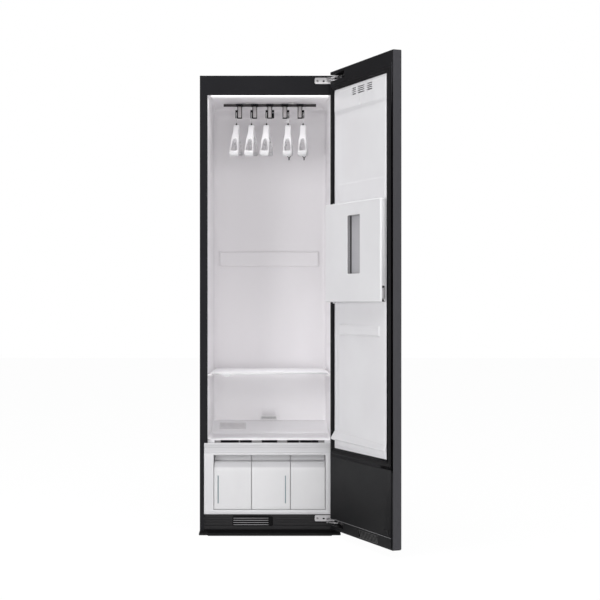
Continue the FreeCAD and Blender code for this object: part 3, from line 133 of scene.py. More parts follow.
def ringOf(window, grow, corner, level, growV=None):
    # a ring for ringBody: the window (u0, u1, v0, v1) with each side moved out by grow
    u0, u1, v0, v1 = window
    growV = grow if growV is None else growV
    return ((u0 + u1) / 2, (v0 + v1) / 2, u1 - u0 + 2 * grow, v1 - v0 + 2 * growV, corner, level)


def ringBody(rings, place, steps=5, closed=False):
    # rounded rectangles (centre u, centre v, width, height, corner, level), one after the other;
    # place puts (u, level, v) in the frame
    loops = [roundedLoop(w, h, r, steps) + [cu, cv] for cu, cv, w, h, r, level in rings]
    flat = np.concatenate(loops)
    count = steps * 4
    levels = np.repeat([ring[5] for ring in rings], count)
    faces = gridFaces(len(rings), count, closedRows=closed, closedColumns=True)
    if not closed:
        faces += endFaces(len(rings), count)
    return place(flat[:, 0], levels, flat[:, 1]), faces


def roundedBox(lowCorner, highCorner, corner, edge, place, steps=5, bends=4):
    # a slab whose rim turns over by quarter circles of radius edge on both its faces
    (u0, t0, v0), (u1, t1, v1) = lowCorner, highCorner
    turn = np.linspace(0, math.pi / 2, bends)
    inset = np.concatenate([edge * (1 - np.sin(turn)), edge * (1 - np.cos(turn))])
    level = np.concatenate([t0 + edge * (1 - np.cos(turn)), t1 - edge * (1 - np.sin(turn))])
    rings = [ringOf((u0, u1, v0, v1), -a, corner - a, t) for a, t in zip(inset, level)]
    return ringBody(rings, place, steps)


def carried(profiles, stations, place):
    # one closed profile of (level, v) points per station along u; the end faces are flat
    count = len(profiles[0])
    profiles = np.asarray(profiles, float)
    u = np.repeat(stations, count)
    points = place(u, profiles[..., 0].ravel(), profiles[..., 1].ravel())
    faces = gridFaces(len(stations), count, closedColumns=True)
    return points, faces + endFaces(len(stations), count)


def tube(path, radius, sides=10):
    # a round section square to the path, turned along it without twist
    path = np.asarray(path, float)
    tangent = np.gradient(path, axis=0)
    tangent /= np.linalg.norm(tangent, axis=1)[:, None]
    side = np.cross(tangent, [1.0, 0.013, 0.0])
    side /= np.linalg.norm(side, axis=1)[:, None]
    other = np.cross(tangent, side)
    turn = np.arange(sides) * 2 * math.pi / sides
    radius = np.broadcast_to(radius, len(path))
    ring = side[:, None] * np.cos(turn)[None, :, None] + other[:, None] * np.sin(turn)[None, :, None]
    points = (path[:, None] + ring * radius[:, None, None]).reshape(-1, 3)
    return points, gridFaces(len(path), sides, closedColumns=True) + endFaces(len(path), sides)


def roundedPath(corners, radius, steps=6):
    # each inner corner becomes a quadratic bend that starts and ends a radius away from it
    corners = np.asarray(corners, float)
    t = np.linspace(0, 1, steps)[:, None]
    parts = [corners[:1]]
    for before, corner, after in zip(corners[:-2], corners[1:-1], corners[2:]):
        start = corner + (before - corner) / np.linalg.norm(before - corner) * radius
        end = corner + (after - corner) / np.linalg.norm(after - corner) * radius
        parts.append(start * (1 - t) ** 2 + corner * 2 * t * (1 - t) + end * t ** 2)
    return np.concatenate(parts + [corners[-1:]])


def sheetGrid(us, vs, place, holes=()):
    # a sheet over two sets of stations, without the quads whose middle lies in a hole, which is
    # (u0, u1, v0, v1)
    u, v = np.meshgrid(us, vs, indexing="ij")
    points = place(u, v).reshape(-1, 3)
    faces = np.array(gridFaces(len(us), len(vs)))
    middleU, middleV = ((g[:-1, :-1] + g[1:, 1:]).ravel() / 2 for g in (u, v))
    keep = np.ones(len(middleU), bool)
    for u0, u1, v0, v1 in holes:
        keep &= ~((middleU > u0) & (middleU < u1) & (middleV > v0) & (middleV < v1))
    return points, faces[keep].tolist()


def together(*shapes):
    # several point and face lists as one
    points, faces, first = [], [], 0
    for shapePoints, shapeFaces in shapes:
        points.append(np.asarray(shapePoints))
        faces += [[index + first for index in face] for face in shapeFaces]
        first += len(shapePoints)
    return np.concatenate(points), faces


def cleanMesh(mesh, reach=1e-6, outward=True, flatten=False):
    # doubled points are merged, level faces joined and normals turned out, as asked
    work = bmesh.new()
    work.from_mesh(mesh)
    bmesh.ops.remove_doubles(work, verts=work.verts, dist=reach)
    if flatten:
        bmesh.ops.dissolve_limit(work, angle_limit=math.radians(1), verts=work.verts, edges=work.edges)
    if outward:
        bmesh.ops.recalc_face_normals(work, faces=work.faces)
    work.to_mesh(mesh)
    work.free()


def addObject(name, mesh, finishName, body, stands, angle):
    # the mesh lies in the frame itself, so its object stays at the origin
    mesh.shade_smooth()
    mesh.set_sharp_from_angle(angle=math.radians(angle))
    mesh.materials.append(finishes[finishName])
    piece = bpy.data.objects.new(name, mesh)
    scene.collection.objects.link(piece)
    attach(piece, body)
    if stands:
        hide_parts(*stands)
    return piece


def addPiece(name, shape, finishName, body, stands=(), angle=35, outward=True):
    points, faces = shape
    mesh = bpy.data.meshes.new(name)
    mesh.from_pydata(np.asarray(points).tolist(), [], faces)
    mesh.validate()
    if outward:
        cleanMesh(mesh)
    return addObject(name, mesh, finishName, body, stands, angle)


def addSheet(name, shape, finishName, body, facing, thick, stands=(), angle=35):
    # the sheet's own side faces a direction, and its thickness grows behind it
    points, faces = shape
    if (quadNormals(points, np.array(faces)).sum(0) * facing).sum() < 0:
        faces = [face[::-1] for face in faces]
    piece = addPiece(name, (points, faces), finishName, body, stands, angle, outward=False)
    thicken(piece, thick, True)
    return piece


def thicken(piece, thick, even):
    shell = piece.modifiers.new("thickness", "SOLIDIFY")
    shell.thickness, shell.offset, shell.use_even_offset = thick * mm, -1, even


def accent(piece, finishName, test):
    # faces whose middle, in millimetres, passes the test take a second finish
    piece.data.materials.append(finishes[finishName])
    count = len(piece.data.polygons)
    centres = np.empty(count * 3)
    piece.data.polygons.foreach_get("center", centres)
    slots = np.zeros(count, dtype=np.int32)
    piece.data.polygons.foreach_get("material_index", slots)
    slots[test(centres.reshape(-1, 3) / mm)] = len(piece.data.materials) - 1
    piece.data.polygons.foreach_set("material_index", slots)


def softened(node, width, finishName, body, slot):
    # a copy of the node's mesh whose sharp edges are rounded over
    mesh = nodes[node].data.copy()
    mesh.name = node + "Soft"
    mesh.transform(nodes[node].matrix_world)
    mesh.materials.clear()
    cleanMesh(mesh, flatten=True)
    first, *others = node.split("_")
    name = first + "".join(part.title() for part in others) + "Soft"
    piece = addObject(name, mesh, finishName, body, [node], 35)
    bevel = piece.modifiers.new("edges", "BEVEL")
    bevel.width, bevel.segments = width * mm, 2
    bevel.limit_method, bevel.angle_limit = "ANGLE", math.radians(40)
    bevel.harden_normals = True
    return piece


def newMaterial(name):
    material = bpy.data.materials.new(name)
    material.use_nodes = True
    tree = material.node_tree
    return material, tree, tree.nodes["Principled BSDF"]


def feed(node, inputs):
    # each input takes a value or the output of another node
    for key, value in inputs.items():
        if isinstance(value, bpy.types.NodeSocket):
            node.id_data.links.new(value, node.inputs[key])
        else:
            node.inputs[key].default_value = value


def addNode(tree, kind, inputs=None, **values):
    node = tree.nodes.new(kind)
    for key, value in values.items():
        setattr(node, key, value)
    feed(node, inputs or {})
    return node


shaderInputs = {"metallic": "Metallic", "specular": "Specular IOR Level", "coat": "Coat Weight",
                "coatRough": "Coat Roughness", "transmission": "Transmission Weight"}


def makeFinish(name, tone, tone2, rough, cloud=6, grain=900, bump=0.04, stretch=(1, 1, 1), **shading):
    # clouds of two near tones, and a fine grain that moves the roughness and stands up as a bump
    material, tree, shader = newMaterial(name)
    place = addNode(tree, "ShaderNodeTexCoord").outputs["Object"]
    mapping = addNode(tree, "ShaderNodeMapping", {"Vector": place, "Scale": stretch})
    clouds = addNode(tree, "ShaderNodeTexNoise",
                     {"Vector": place, "Scale": cloud, "Detail": 3.0, "Roughness": 0.55})
    fine = addNode(tree, "ShaderNodeTexNoise",
                   {"Vector": mapping.outputs["Vector"], "Scale": grain, "Detail": 2.0,
                    "Roughness": 0.5})
    spread = addNode(tree, "ShaderNodeMapRange",
                     {"Value": clouds.outputs["Fac"], "From Min": 0.35, "From Max": 0.65})
    tones = addNode(tree, "ShaderNodeMix", {"Factor": spread.outputs["Result"], "A": (*tone, 1),
                                            "B": (*tone2, 1)}, data_type="RGBA")
    gloss = addNode(tree, "ShaderNodeMapRange", {"Value": fine.outputs["Fac"], "From Min": 0.3,
                                                 "From Max": 0.7, "To Min": rough[0],
                                                 "To Max": rough[1]})
    relief = addNode(tree, "ShaderNodeBump",
                     {"Height": fine.outputs["Fac"], "Strength": 0.4, "Distance": bump * mm})
    feed(shader, {"Base Color": tones.outputs["Result"], "Roughness": gloss.outputs["Result"],
                  "Normal": relief.outputs["Normal"]})
    feed(shader, {shaderInputs[key]: value for key, value in shading.items()})
    return material


# each finish: two tones, the least and the most roughness, then what differs from a plain plastic
finishRows = {
    "linerWhite": ((0.76, 0.757, 0.773), (0.727, 0.718, 0.736), (0.34, 0.44), {"cloud": 3}),
    "trayWhite": ((0.76, 0.757, 0.773), (0.727, 0.718, 0.736), (0.34, 0.44), {"cloud": 3}),
    # painted light: wallWhite, shelfWhite and floorWhite are lighter copies of the white plastic than
    # the liner, press, drawers and surround, to brighten the deep cavity
    "wallWhite": ((0.895, 0.88, 0.895), (0.87, 0.849, 0.865), (0.38, 0.5), {"cloud": 2.2}),
    "pressWhite": ((0.745, 0.742, 0.756), (0.718, 0.713, 0.729), (0.3, 0.4), {"cloud": 4}),
    "hangerWhite": ((0.64, 0.632, 0.644), (0.608, 0.599, 0.616), (0.32, 0.42), {"cloud": 14}),
    "drawerWhite": ((0.645, 0.64, 0.65), (0.618, 0.613, 0.624), (0.26, 0.36), {"cloud": 5}),
    "shelfWhite": ((0.91, 0.905, 0.925), (0.88, 0.875, 0.895), (0.3, 0.4), {"cloud": 5}),
    "blackPaint": ((0.0105, 0.0105, 0.0125), (0.009, 0.009, 0.0108), (0.5, 0.6),
                   {"grain": 1400, "specular": 0.12}),
    "bodyPaint": ((0.014, 0.0143, 0.0165), (0.0115, 0.0118, 0.0138), (0.42, 0.52),
                  {"grain": 1100, "bump": 0.06, "specular": 0.2}),
    "doorPaint": ((0.0105, 0.0102, 0.0118), (0.0088, 0.0086, 0.01), (0.45, 0.55),
                  {"grain": 1400, "specular": 0.12}),
    "panelBlack": ((0.022, 0.022, 0.0232), (0.018, 0.018, 0.0192), (0.55, 0.66),
                   {"grain": 700, "bump": 0.1, "specular": 0.12}),
    "frontGlass": ((0.008, 0.008, 0.0095), (0.007, 0.007, 0.008), (0.03, 0.05),
                   {"grain": 60, "bump": 0.01, "coat": 1, "coatRough": 0.02, "specular": 0.6}),
    "sealRubber": ((0.0065, 0.0062, 0.007), (0.0055, 0.0052, 0.006), (0.55, 0.66),
                   {"grain": 1200, "specular": 0.15}),
    "softFoam": ((0.45, 0.42, 0.3), (0.38, 0.35, 0.25), (0.85, 0.95), {"grain": 300, "bump": 0.6}),
    "railMetal": ((0.03, 0.027, 0.0285), (0.0225, 0.0203, 0.0217), (0.3, 0.4),
                  {"grain": 700, "stretch": (0.05, 1, 1), "metallic": 0.4}),
    "blackPlastic": ((0.014, 0.0135, 0.014), (0.011, 0.0105, 0.011), (0.35, 0.45), {"grain": 1000}),
    "lipShadeWhite": ((0.64, 0.635, 0.648), (0.614, 0.609, 0.622), (0.3, 0.4), {"cloud": 5}),
    "floorWhite": ((0.94, 0.93, 0.945), (0.925, 0.91, 0.925), (0.4, 0.5), {"cloud": 3}),
    "riserGrey": ((0.22, 0.216, 0.22), (0.205, 0.2, 0.205), (0.45, 0.55)),
    "bezelWhite": ((0.625, 0.62, 0.635), (0.599, 0.594, 0.61), (0.3, 0.4), {"cloud": 4}),
    "fasciaBlack": ((0.0095, 0.009, 0.01), (0.008, 0.0074, 0.0085), (0.45, 0.55),
                    {"grain": 1200, "specular": 0.25}),
    "slatGrey": ((0.25, 0.246, 0.254), (0.211, 0.208, 0.215), (0.4, 0.5), {"specular": 0.4}),
    "plinthBlack": ((0.006, 0.0059, 0.0064), (0.0047, 0.0046, 0.0051), (0.5, 0.6),
                    {"grain": 1000, "specular": 0.18}),
    "plinthGrey": ((0.004, 0.0039, 0.0042), (0.0033, 0.0033, 0.0035), (0.42, 0.52),
                   {"grain": 1000, "specular": 0.12}),
    "ventPocketShade": ((0.022, 0.0212, 0.0228), (0.0184, 0.0176, 0.019), (0.5, 0.6), {"specular": 0.1}),
    "recessShadeGrey": ((0.26, 0.256, 0.264), (0.228, 0.225, 0.232), (0.4, 0.5)),
    "slotFloorShade": ((0.45, 0.445, 0.466), (0.407, 0.402, 0.423), (0.4, 0.5)),
    "slotBlack": ((0.006, 0.006, 0.0065), (0.005, 0.005, 0.0055), (0.5, 0.6), {"specular": 0.05}),
    "carrierFace": ((0.33, 0.314, 0.319), (0.264, 0.247, 0.253), (0.3, 0.42),
                    {"grain": 700, "stretch": (1, 1, 0.06), "metallic": 0.2}),
    "hookWire": ((0.66, 0.65, 0.66), (0.58, 0.57, 0.58), (0.2, 0.3), {"metallic": 0.3}),
    "clipGrey": ((0.055, 0.05, 0.052), (0.04, 0.037, 0.038), (0.3, 0.4)),
    "hingeSteel": ((0.44, 0.43, 0.44), (0.38, 0.37, 0.38), (0.36, 0.46),
                   {"grain": 420, "stretch": (0.15, 1, 1), "metallic": 0.6}),
    # painted reflections: fine clouds of a light and a near-black steel stand in for the chrome links'
    # reflections
    "linkSteelPaintedReflections": ((0.42, 0.41, 0.42), (0.04, 0.039, 0.041), (0.2, 0.35),
                  {"grain": 260, "cloud": 60, "metallic": 0.85}),
    "screwGrey": ((0.2, 0.195, 0.2), (0.15, 0.147, 0.15), (0.5, 0.6)),
    "latchSilver": ((0.5, 0.49, 0.5), (0.42, 0.41, 0.42), (0.25, 0.35), {"metallic": 0.5}),
    "filterMesh": ((0.82, 0.805, 0.815), (0.767, 0.752, 0.763), (0.45, 0.6),
                   {"cloud": 26, "bump": 0.2}),
    "ventGrey": ((0.82, 0.809, 0.814), (0.777, 0.766, 0.772), (0.4, 0.5)),
    "tankMilk": ((0.62, 0.66, 0.7), (0.56, 0.6, 0.65), (0.2, 0.3), {"transmission": 0.35}),
    "footRubber": ((0.02, 0.02, 0.02), (0.03, 0.03, 0.03), (0.7, 0.85), {"grain": 500}),
    "backSteel": ((0.3, 0.31, 0.32), (0.24, 0.25, 0.26), (0.35, 0.5), {"cloud": 30, "metallic": 0.7}),
    "castBlack": ((0.016, 0.016, 0.017), (0.012, 0.012, 0.013), (0.45, 0.6),
                  {"grain": 200, "bump": 0.3}),
    "finAluminium": ((0.62, 0.63, 0.65), (0.52, 0.53, 0.55), (0.3, 0.45),
                     {"metallic": 0.9, "grain": 500, "stretch": (1, 1, 0.1)}),
    "technicalWhite": ((0.6, 0.6, 0.59), (0.54, 0.54, 0.53), (0.45, 0.6)),
    "waterWindow": ((0.22, 0.3, 0.31), (0.18, 0.25, 0.27), (0.1, 0.16)),
}
finishes = {name: makeFinish(name, *row[:3], **(row[3] if row[3:] else {}))
            for name, row in finishRows.items()}


def tint(tree, share, tone):
    # another colour over the base colour, by a share from 0 to 1
    shader = tree.nodes["Principled BSDF"]
    before = shader.inputs["Base Color"].links[0].from_socket
    mix = addNode(tree, "ShaderNodeMix", {"Factor": share, "A": before, "B": (*tone, 1)},
                  data_type="RGBA")
    feed(shader, {"Base Color": mix.outputs["Result"]})


def paintedShadingByPlace(finishName, tone, *spans):
    # painted light or shade: another colour where the place along each given axis lies past its soft
    # limit
    tree = finishes[finishName].node_tree
    place = addNode(tree, "ShaderNodeTexCoord").outputs["Object"]
    split = addNode(tree, "ShaderNodeSeparateXYZ", {0: place})
    share = 1.0
    for axis, start, end in spans:
        limits = {"Value": split.outputs[axis], "From Min": start * mm, "From Max": end * mm}
        ramp = addNode(tree, "ShaderNodeMapRange", limits, interpolation_type="SMOOTHSTEP")
        both = addNode(tree, "ShaderNodeMath", {0: share, 1: ramp.outputs["Result"]},
                       operation="MULTIPLY")
        share = both.outputs[0]
    tint(tree, share, tone)


def paintedShadingByFacing(finishName, tone, direction):
    # painted light or shade: another colour on faces that look along a direction
    tree = finishes[finishName].node_tree
    normal = addNode(tree, "ShaderNodeTexCoord").outputs["Normal"]
    along = addNode(tree, "ShaderNodeVectorMath", {0: normal, 1: direction}, operation="DOT_PRODUCT")
    chosen = addNode(tree, "ShaderNodeMath", {0: along.outputs["Value"], 1: 0.8},
                     operation="GREATER_THAN")
    tint(tree, chosen.outputs[0], tone)


def lampMaterial(name, colour, strengths, reach):
    # a frosted lens that glows most along its front edge and fades towards its rear edge
    material, tree, shader = newMaterial(name)
    place = addNode(tree, "ShaderNodeTexCoord").outputs["Object"]
    split = addNode(tree, "ShaderNodeSeparateXYZ", {0: place})
    glow = addNode(tree, "ShaderNodeMapRange", {"Value": split.outputs["Y"], "From Min": reach[0] * mm,
                                                "From Max": reach[1] * mm, "To Min": strengths[0],
                                                "To Max": strengths[1]})
    feed(shader, {"Base Color": (0.7, 0.7, 0.7, 1), "Emission Color": (*colour, 1),
                  "Emission Strength": glow.outputs["Result"]})
    return material


# painted highlight: the door's hinge edge is painted lighter than its black paint, as it looks where
# light falls on it
paintedShadingByFacing("doorPaint", (0.062, 0.061, 0.067), (0.363, -0.932, 0.0))  # the door's hinge edge
# painted shade: the tray's slope, which looks up and forward, is painted a darker white
paintedShadingByFacing("trayWhite", (0.655, 0.65, 0.665), (-0.6, -0.23, 0.766))  # the tray's slope
# painted shade: the back wall above the shelf is painted a darker white than the side walls, the shade
# under the cavity's ceiling
paintedShadingByPlace("wallWhite", (0.765, 0.745, 0.763), ("Y", 165, 190), ("Z", 672, 690))
# painted light: the hangers are painted a lighter white above about 1.68 m, where the cavity's ceiling
# shades their necks
paintedShadingByPlace("hangerWhite", (0.88, 0.87, 0.885), ("Z", 1652, 1705))
# painted shade: the surround's top rail is painted a darker white, against the light it gets from above
paintedShadingByPlace("bezelWhite", (0.545, 0.54, 0.555), ("Z", 338, 352))
# painted highlight: the upper hinge plate is painted lighter towards its bottom edge, as light falls on
# it
paintedShadingByPlace("hingeSteel", (0.66, 0.65, 0.66), ("Z", 1936, 1916), ("Z", 1000, 1100))
# painted shade: the drawer fronts are painted darker over the grip, above about 285 mm
paintedShadingByPlace("drawerWhite", (0.49, 0.485, 0.50), ("Z", 280, 290))
# painted shade: the door's lower panel is painted darker towards its bottom
paintedShadingByPlace("panelBlack", (0.0055, 0.0055, 0.0062), ("Z", 360, 80))
finishes["lampLens"] = lampMaterial("lampLens", (1.0, 0.99, 0.985), (0.98, 0.34), (-264, -238))
print("finishes:", len(finishes))

# nodes that stay as they are in the frame
plainNodes = {
    "blackPlastic": ["power_inlet", "door_grille", "fan_housing", "fan_impeller"],
    "screwGrey": ["cabinet_screws"], "ventGrey": ["steam_outlet"], "drawerWhite": ["tank_bay"],
    "wallWhite": ["hanger_rail"], "slotBlack": ["hanger_pegs"], "castBlack": ["compressor"],
    "finAluminium": ["heat_exchanger"], "tankMilk": ["fill_tank", "drain_tank"],
    "backSteel": ["rail_drive", "fan_motor", "steam_generator"],
    "technicalWhite": ["water_pumps", "control_box"], "softFoam": ["door_foam"],
    "footRubber": ["foot_%d" % number for number in range(1, 5)],
}
for finishName, names in plainNodes.items():
    for name in names:
        nodes[name].data.materials.clear()
        nodes[name].data.materials.append(finishes[finishName])

linerSettings = {"halfWidth": 250, "freeHalf": 243.5, "low": 376, "high": 1876, "back": 0.05,
                 "flange": 2.0, "field": 4.0, "margin": 7, "soft": 9, "freeMargin": 0.8,
                 "freeSoft": 2.4, "crown": 9.0, "crownLow": 1768, "crownSoft": 17, "crownFade": 95,
                 "valley": 1.8, "valleySoft": 9, "lower": 5.5, "lowerX": 210, "lowerTop": 1480,
                 "bar": (-199, 185, 849, 899), "barRise": 5.5, "barSoft": 10,
                 "dent": (-13, 1792), "dentSize": (5, 12), "dentDeep": 3.0,
                 "vents": [(24, 64), (-58, 9), (-130, -78)], "ventLow": 1831.5, "ventHigh": 1859.5,
                 "ventDeep": 6.5}


def linerRise(x, z, s):
    # the rim's quarter round, one eased step for each raised field, less a pocket for each vent
    fromHinge, fromFree = s["halfWidth"] - x, s["freeHalf"] + x
    fromEnds = np.minimum(z - s["low"], s["high"] - z)
    rim = 1 - np.clip(np.minimum(np.minimum(fromHinge, fromFree), fromEnds) / s["flange"], 0, 1)
    rise = s["flange"] * np.sqrt(1 - rim * rim)
    inside = ease(fromHinge, s["margin"], s["soft"]) * ease(fromFree, s["freeMargin"], s["freeSoft"])
    inside = inside * ease(fromEnds, s["margin"], s["soft"])
    rise = rise + (s["field"] - s["flange"]) * inside
    crown = ease(z, s["crownLow"], s["crownSoft"]) * inside * ease(fromFree, 0, s["crownFade"])
    rise = rise + (s["crown"] - s["field"]) * crown
    rise = rise - s["valley"] * np.exp(-((z - s["crownLow"]) / s["valleySoft"]) ** 2) * inside
    lower = ease(s["lowerTop"] - z, 0, s["soft"]) * ease(s["lowerX"] - x, 0, s["soft"])
    rise = rise + (s["lower"] - s["field"]) * lower * inside
    left, right, low, high = s["bar"]
    bar = within(x, left, right, s["barSoft"]) * within(z, low, high, s["barSoft"])
    rise = rise + s["barRise"] * bar
    (dentX, dentZ), (wide, tall) = s["dent"], s["dentSize"]
    rise = rise - s["dentDeep"] * np.exp(-2 * (((x - dentX) / wide) ** 2 + ((z - dentZ) / tall) ** 2))
    for start, end in s["vents"]:
        pocket = within(x, start - 1, end + 1, 1) * within(z, s["ventLow"] - 1, s["ventHigh"] + 1, 1)
        rise = rise - s["ventDeep"] * pocket
    return rise


def panelField(xs, zs, rise, back, place):
    # a height field over x and z with its rim turned down to a level, and a flat back
    x, z = np.meshgrid(xs, zs, indexing="ij")
    top = place(x, rise(x, z), z).reshape(-1, 3)
    grid = np.arange(x.size).reshape(x.shape)
    rim = np.concatenate([grid[:, 0], grid[-1, 1:], grid[-2::-1, -1], grid[0, -2:0:-1]])
    under = place(x.ravel()[rim], back, z.ravel()[rim])
    first, along = len(top), np.arange(len(rim))
    following = np.roll(along, -1)
    walls = np.stack([rim, first + along, first + following, rim[following]], -1)
    faces = gridFaces(*x.shape) + walls.tolist() + [(first + along).tolist()]
    return np.concatenate([top, under]), faces


def makeLiner(s):
    free, half, low, high = -s["freeHalf"], s["halfWidth"], s["low"], s["high"]
    left, right, barLow, barHigh = s["bar"]
    ventX = np.array(s["vents"], float)
    xs = stationsOf(free, half, 14, marks(s["lowerX"] - 4, left + 5, right - 5, s["dent"][0],
                                          *ventX.ravel(), reach=6, fine=1.5),
                    free + np.array([0.2, 0.6, 0.9, 1.4, 2, 2.6, 3.2]),
                    half - np.array([0.2, 0.6, 1.2, 2]),
                    np.arange(half - 18, half - 6, 1.5), (ventX[:, :1] - [1, 0.5, 0]).ravel(),
                    (ventX[:, 1:] + [0, 0.5, 1]).ravel())
    zs = stationsOf(low, high, 20, marks(s["crownLow"] + 6, s["lowerTop"] - 5, barLow + 5, barHigh - 5,
                                         s["dent"][1], reach=8, fine=1.6),
                    nearEnds(low, high, 0.2, 0.6, 1.2, 2), low + np.arange(6, 18, 1.5),
                    high - np.arange(7.5, 19, 1.5), s["ventLow"] - np.array([1, 0.5, 0]),
                    s["ventHigh"] + np.array([0, 0.5, 1]))
    shape = panelField(xs, zs, lambda x, z: linerRise(x, z, s), s["back"], onDoor)
    addPiece("doorLiner", shape, "linerWhite", "door", ["door_liner"], angle=50)


makeLiner(linerSettings)

ventSettings = {"slots": 4, "back": 2.9, "front": 9.3, "nose": 1.2, "corner": 0.6, "floor": (2.1, 3.3),
                "floorEdge": 0.2}


def makeVents(s, liner):
    # in each pocket bars with rounded noses leave equal slots between them, over a black floor that
    # paints the shade inside the pocket
    bars, floors = [], []
    ventLow, ventHigh = liner["ventLow"], liner["ventHigh"]
    unit = (ventHigh - ventLow) / (2 * s["slots"] - 1)
    for start, end in liner["vents"]:
        for row in range(1, s["slots"]):
            low = ventLow + unit * (2 * row - 1)
            bars.append(roundedBox((start - s["corner"], s["back"], low),
                                   (end + s["corner"], s["front"], low + unit),
                                   s["corner"], s["nose"], onDoor))
        floors.append(roundedBox((start - 1, s["floor"][0], ventLow - 1),
                                 (end + 1, s["floor"][1], ventHigh + 1), 1, s["floorEdge"], onDoor))
    addPiece("doorVentBars", together(*bars), "linerWhite", "door", ["door_vents"])
    addPiece("doorVentShadeFloors", together(*floors), "ventPocketShade", "door")


makeVents(ventSettings, linerSettings)

traySettings = {"halfWidth": 246, "endRound": 9.0, "base": 3, "endShare": 0.25,
                "hinge": [(3, 453), (12, 441.5), (24.2, 422.5), (25, 420.5), (24.6, 418), (22, 415),
                          (3, 408)],
                "free": [(3, 440), (6.5, 429), (12.4, 414.5), (13, 412.5), (12.7, 410.5), (11, 408),
                         (3, 403)]}


def makeTray(s):
    # the lip's profile runs straight from the hinge side to the free side and draws in at both ends
    length, end = 2 * s["halfWidth"], s["endRound"]
    stations = np.concatenate([np.linspace(0, end, 6), np.linspace(end, length - end, 14)[1:-1],
                               length - np.linspace(end, 0, 6)])
    share = (stations / length)[:, None, None]
    profiles = np.array(s["free"], float) * (1 - share) + np.array(s["hinge"], float) * share
    fromEnd = np.clip(np.minimum(stations, length - stations) / end, 0, 1)
    draw = s["endShare"] + (1 - s["endShare"]) * np.sqrt(1 - (1 - fromEnd) ** 2)[:, None]
    profiles[..., 0] = s["base"] + (profiles[..., 0] - s["base"]) * draw
    shape = carried(profiles, stations - s["halfWidth"], onDoor)
    addPiece("dripTray", shape, "trayWhite", "door", ["drip_tray"], angle=40)


makeTray(traySettings)

sealSettings = {"window": (-284, 284, 350, 1897), "corner": 5,
                "profile": [(0.0, 0.0), (0.0, 3.0), (0.6, 3.6), (1.8, 3.9), (2.6, 4.6), (2.8, 5.6),
                            (3.6, 6.8), (5.2, 7.5), (8.0, 7.7), (10.5, 7.6), (12.2, 7.1), (13.2, 6.0),
                            (13.6, 4.8), (14.6, 4.0), (16.2, 3.8), (17.4, 3.2), (18.0, 2.2),
                            (18.0, 0.0)]}


def makeSeal(s):
    # a magnet bead between two pleats: (distance inwards, rise) carried round the frame
    rings = [ringOf(s["window"], -inward, max(s["corner"] - inward, 0.3), rise)
             for inward, rise in s["profile"]]
    addPiece("doorSeal", ringBody(rings, onDoor, closed=True), "sealRubber", "door", ["door_seal"],
             angle=60)


makeSeal(sealSettings)
print("door liner, vents, tray and seal made")

pressSettings = {"window": (-246, 240, 988, 1393), "hingeRise": 50, "freeRise": 27, "sheet": 14,
                 "skirt": 8, "base": 6.1, "step": 1.3, "stepX": (224, 8), "corner": 7, "round": 7,
                 "ends": 5.5, "slot": (-71, 38, 1102, 1338), "slotRound": 4, "slotSoft": 1.5,
                 "shadeGrow": 9, "shadeDeep": 19.9, "floorGrow": 5, "floorDeep": 19.2, "darkGap": 2.0}


def makePress(s):
    # rings run up the skirt, over the rounded rim, in to the slot, down through the sheet and
    # out again
    outer, slot = s["window"], s["slot"]
    face = 10  # ring levels from here on are depths below the sloping face

    def place(x, level, z):
        # levels up to 1 climb from the skirt's foot to the face
        foot = s["base"] + s["step"] * ease(x, *s["stepX"])
        slope = (s["hingeRise"] - s["freeRise"]) * (x - outer[0]) / (outer[1] - outer[0])
        top = s["freeRise"] + slope
        climb = foot + (top - foot) * level
        return onDoor(x, np.where(level > face / 2, top - (level - face), climb), z)

    turn = np.linspace(0, math.pi / 2, 7)
    rings = [ringOf(outer, 0, s["corner"], 0.0)]
    for a in turn:
        inward, down = 1 - math.cos(a), 1 - math.sin(a)
        rings.append(ringOf(outer, -s["round"] * inward, s["corner"], face + s["round"] * down,
                            -s["ends"] * inward))
    rim = np.array(ringOf(outer, -s["round"], s["corner"], face, -s["ends"]))
    mouth = np.array(ringOf(slot, 2, s["corner"], face))
    rings += [tuple(mouth * t + rim * (1 - t)) for t in (0.02, 0.35, 0.7, 0.98)]
    rings += [ringOf(slot, s["slotSoft"] * (1 - math.sin(a)), s["slotRound"] + s["slotSoft"],
                     face + s["slotSoft"] * (1 - math.cos(a))) for a in turn]
    rings += [ringOf(slot, 0, s["slotRound"], face + s["sheet"]),
              ringOf(outer, -s["skirt"], s["corner"] - 3, face + s["sheet"]),
              ringOf(outer, -s["skirt"], s["corner"] - 3, 0.0)]
    cover = addPiece("pressCover", ringBody(rings, place, closed=True), "pressWhite", "press_lid",
                     ["press_cover"], angle=30)
    soft, deep = s["slotSoft"] + 0.3, s["sheet"] - 0.2
    steps = [(0.02, soft), (0.02, deep), (-0.7, deep), (-0.6, soft + 0.3), (-0.2, soft)]
    wall = [ringOf(slot, grow, s["slotRound"], face + depth) for grow, depth in steps]
    # painted shade: the slot's wall takes a grey that paints the shade inside the recess
    addPiece("pressSlotWall", ringBody(wall, place, closed=True), "recessShadeGrey", "press_lid")
    # painted shade: a black plate on the base with a grey one on it, which stops short of the slot's
    # hinge side, paint the shade seen through the slot and in its gap
    x0, x1, z0, z1 = slot
    dark, grey = s["shadeGrow"], s["floorGrow"]
    shade = x0 - dark, x1 + dark, z0 - dark, z1 + dark
    floor = x0 - grey, x1 - s["darkGap"], z0 - grey, z1 + grey
    steps = [(0, -0.2), (0, 0.5), (0.2, 0.7)]
    for name, window, deep, finishName in (("pressSlotShade", shade, s["shadeDeep"], "slotBlack"),
                                           ("pressSlotFloorShade", floor, s["floorDeep"], "slotFloorShade")):
        rings = [ringOf(window, -inset, 3, face + deep - up) for inset, up in steps]
        addPiece(name, ringBody(rings, place), finishName, "door")
    return cover


pressCover = makePress(pressSettings)

latchSettings = {"buttonTop": 1042, "hole": (991, 1051), "rise": (8.6, 20.4), "deep": 11.3, "wall": 1.5,
                 "lining": (1.0, 12), "back": 11}


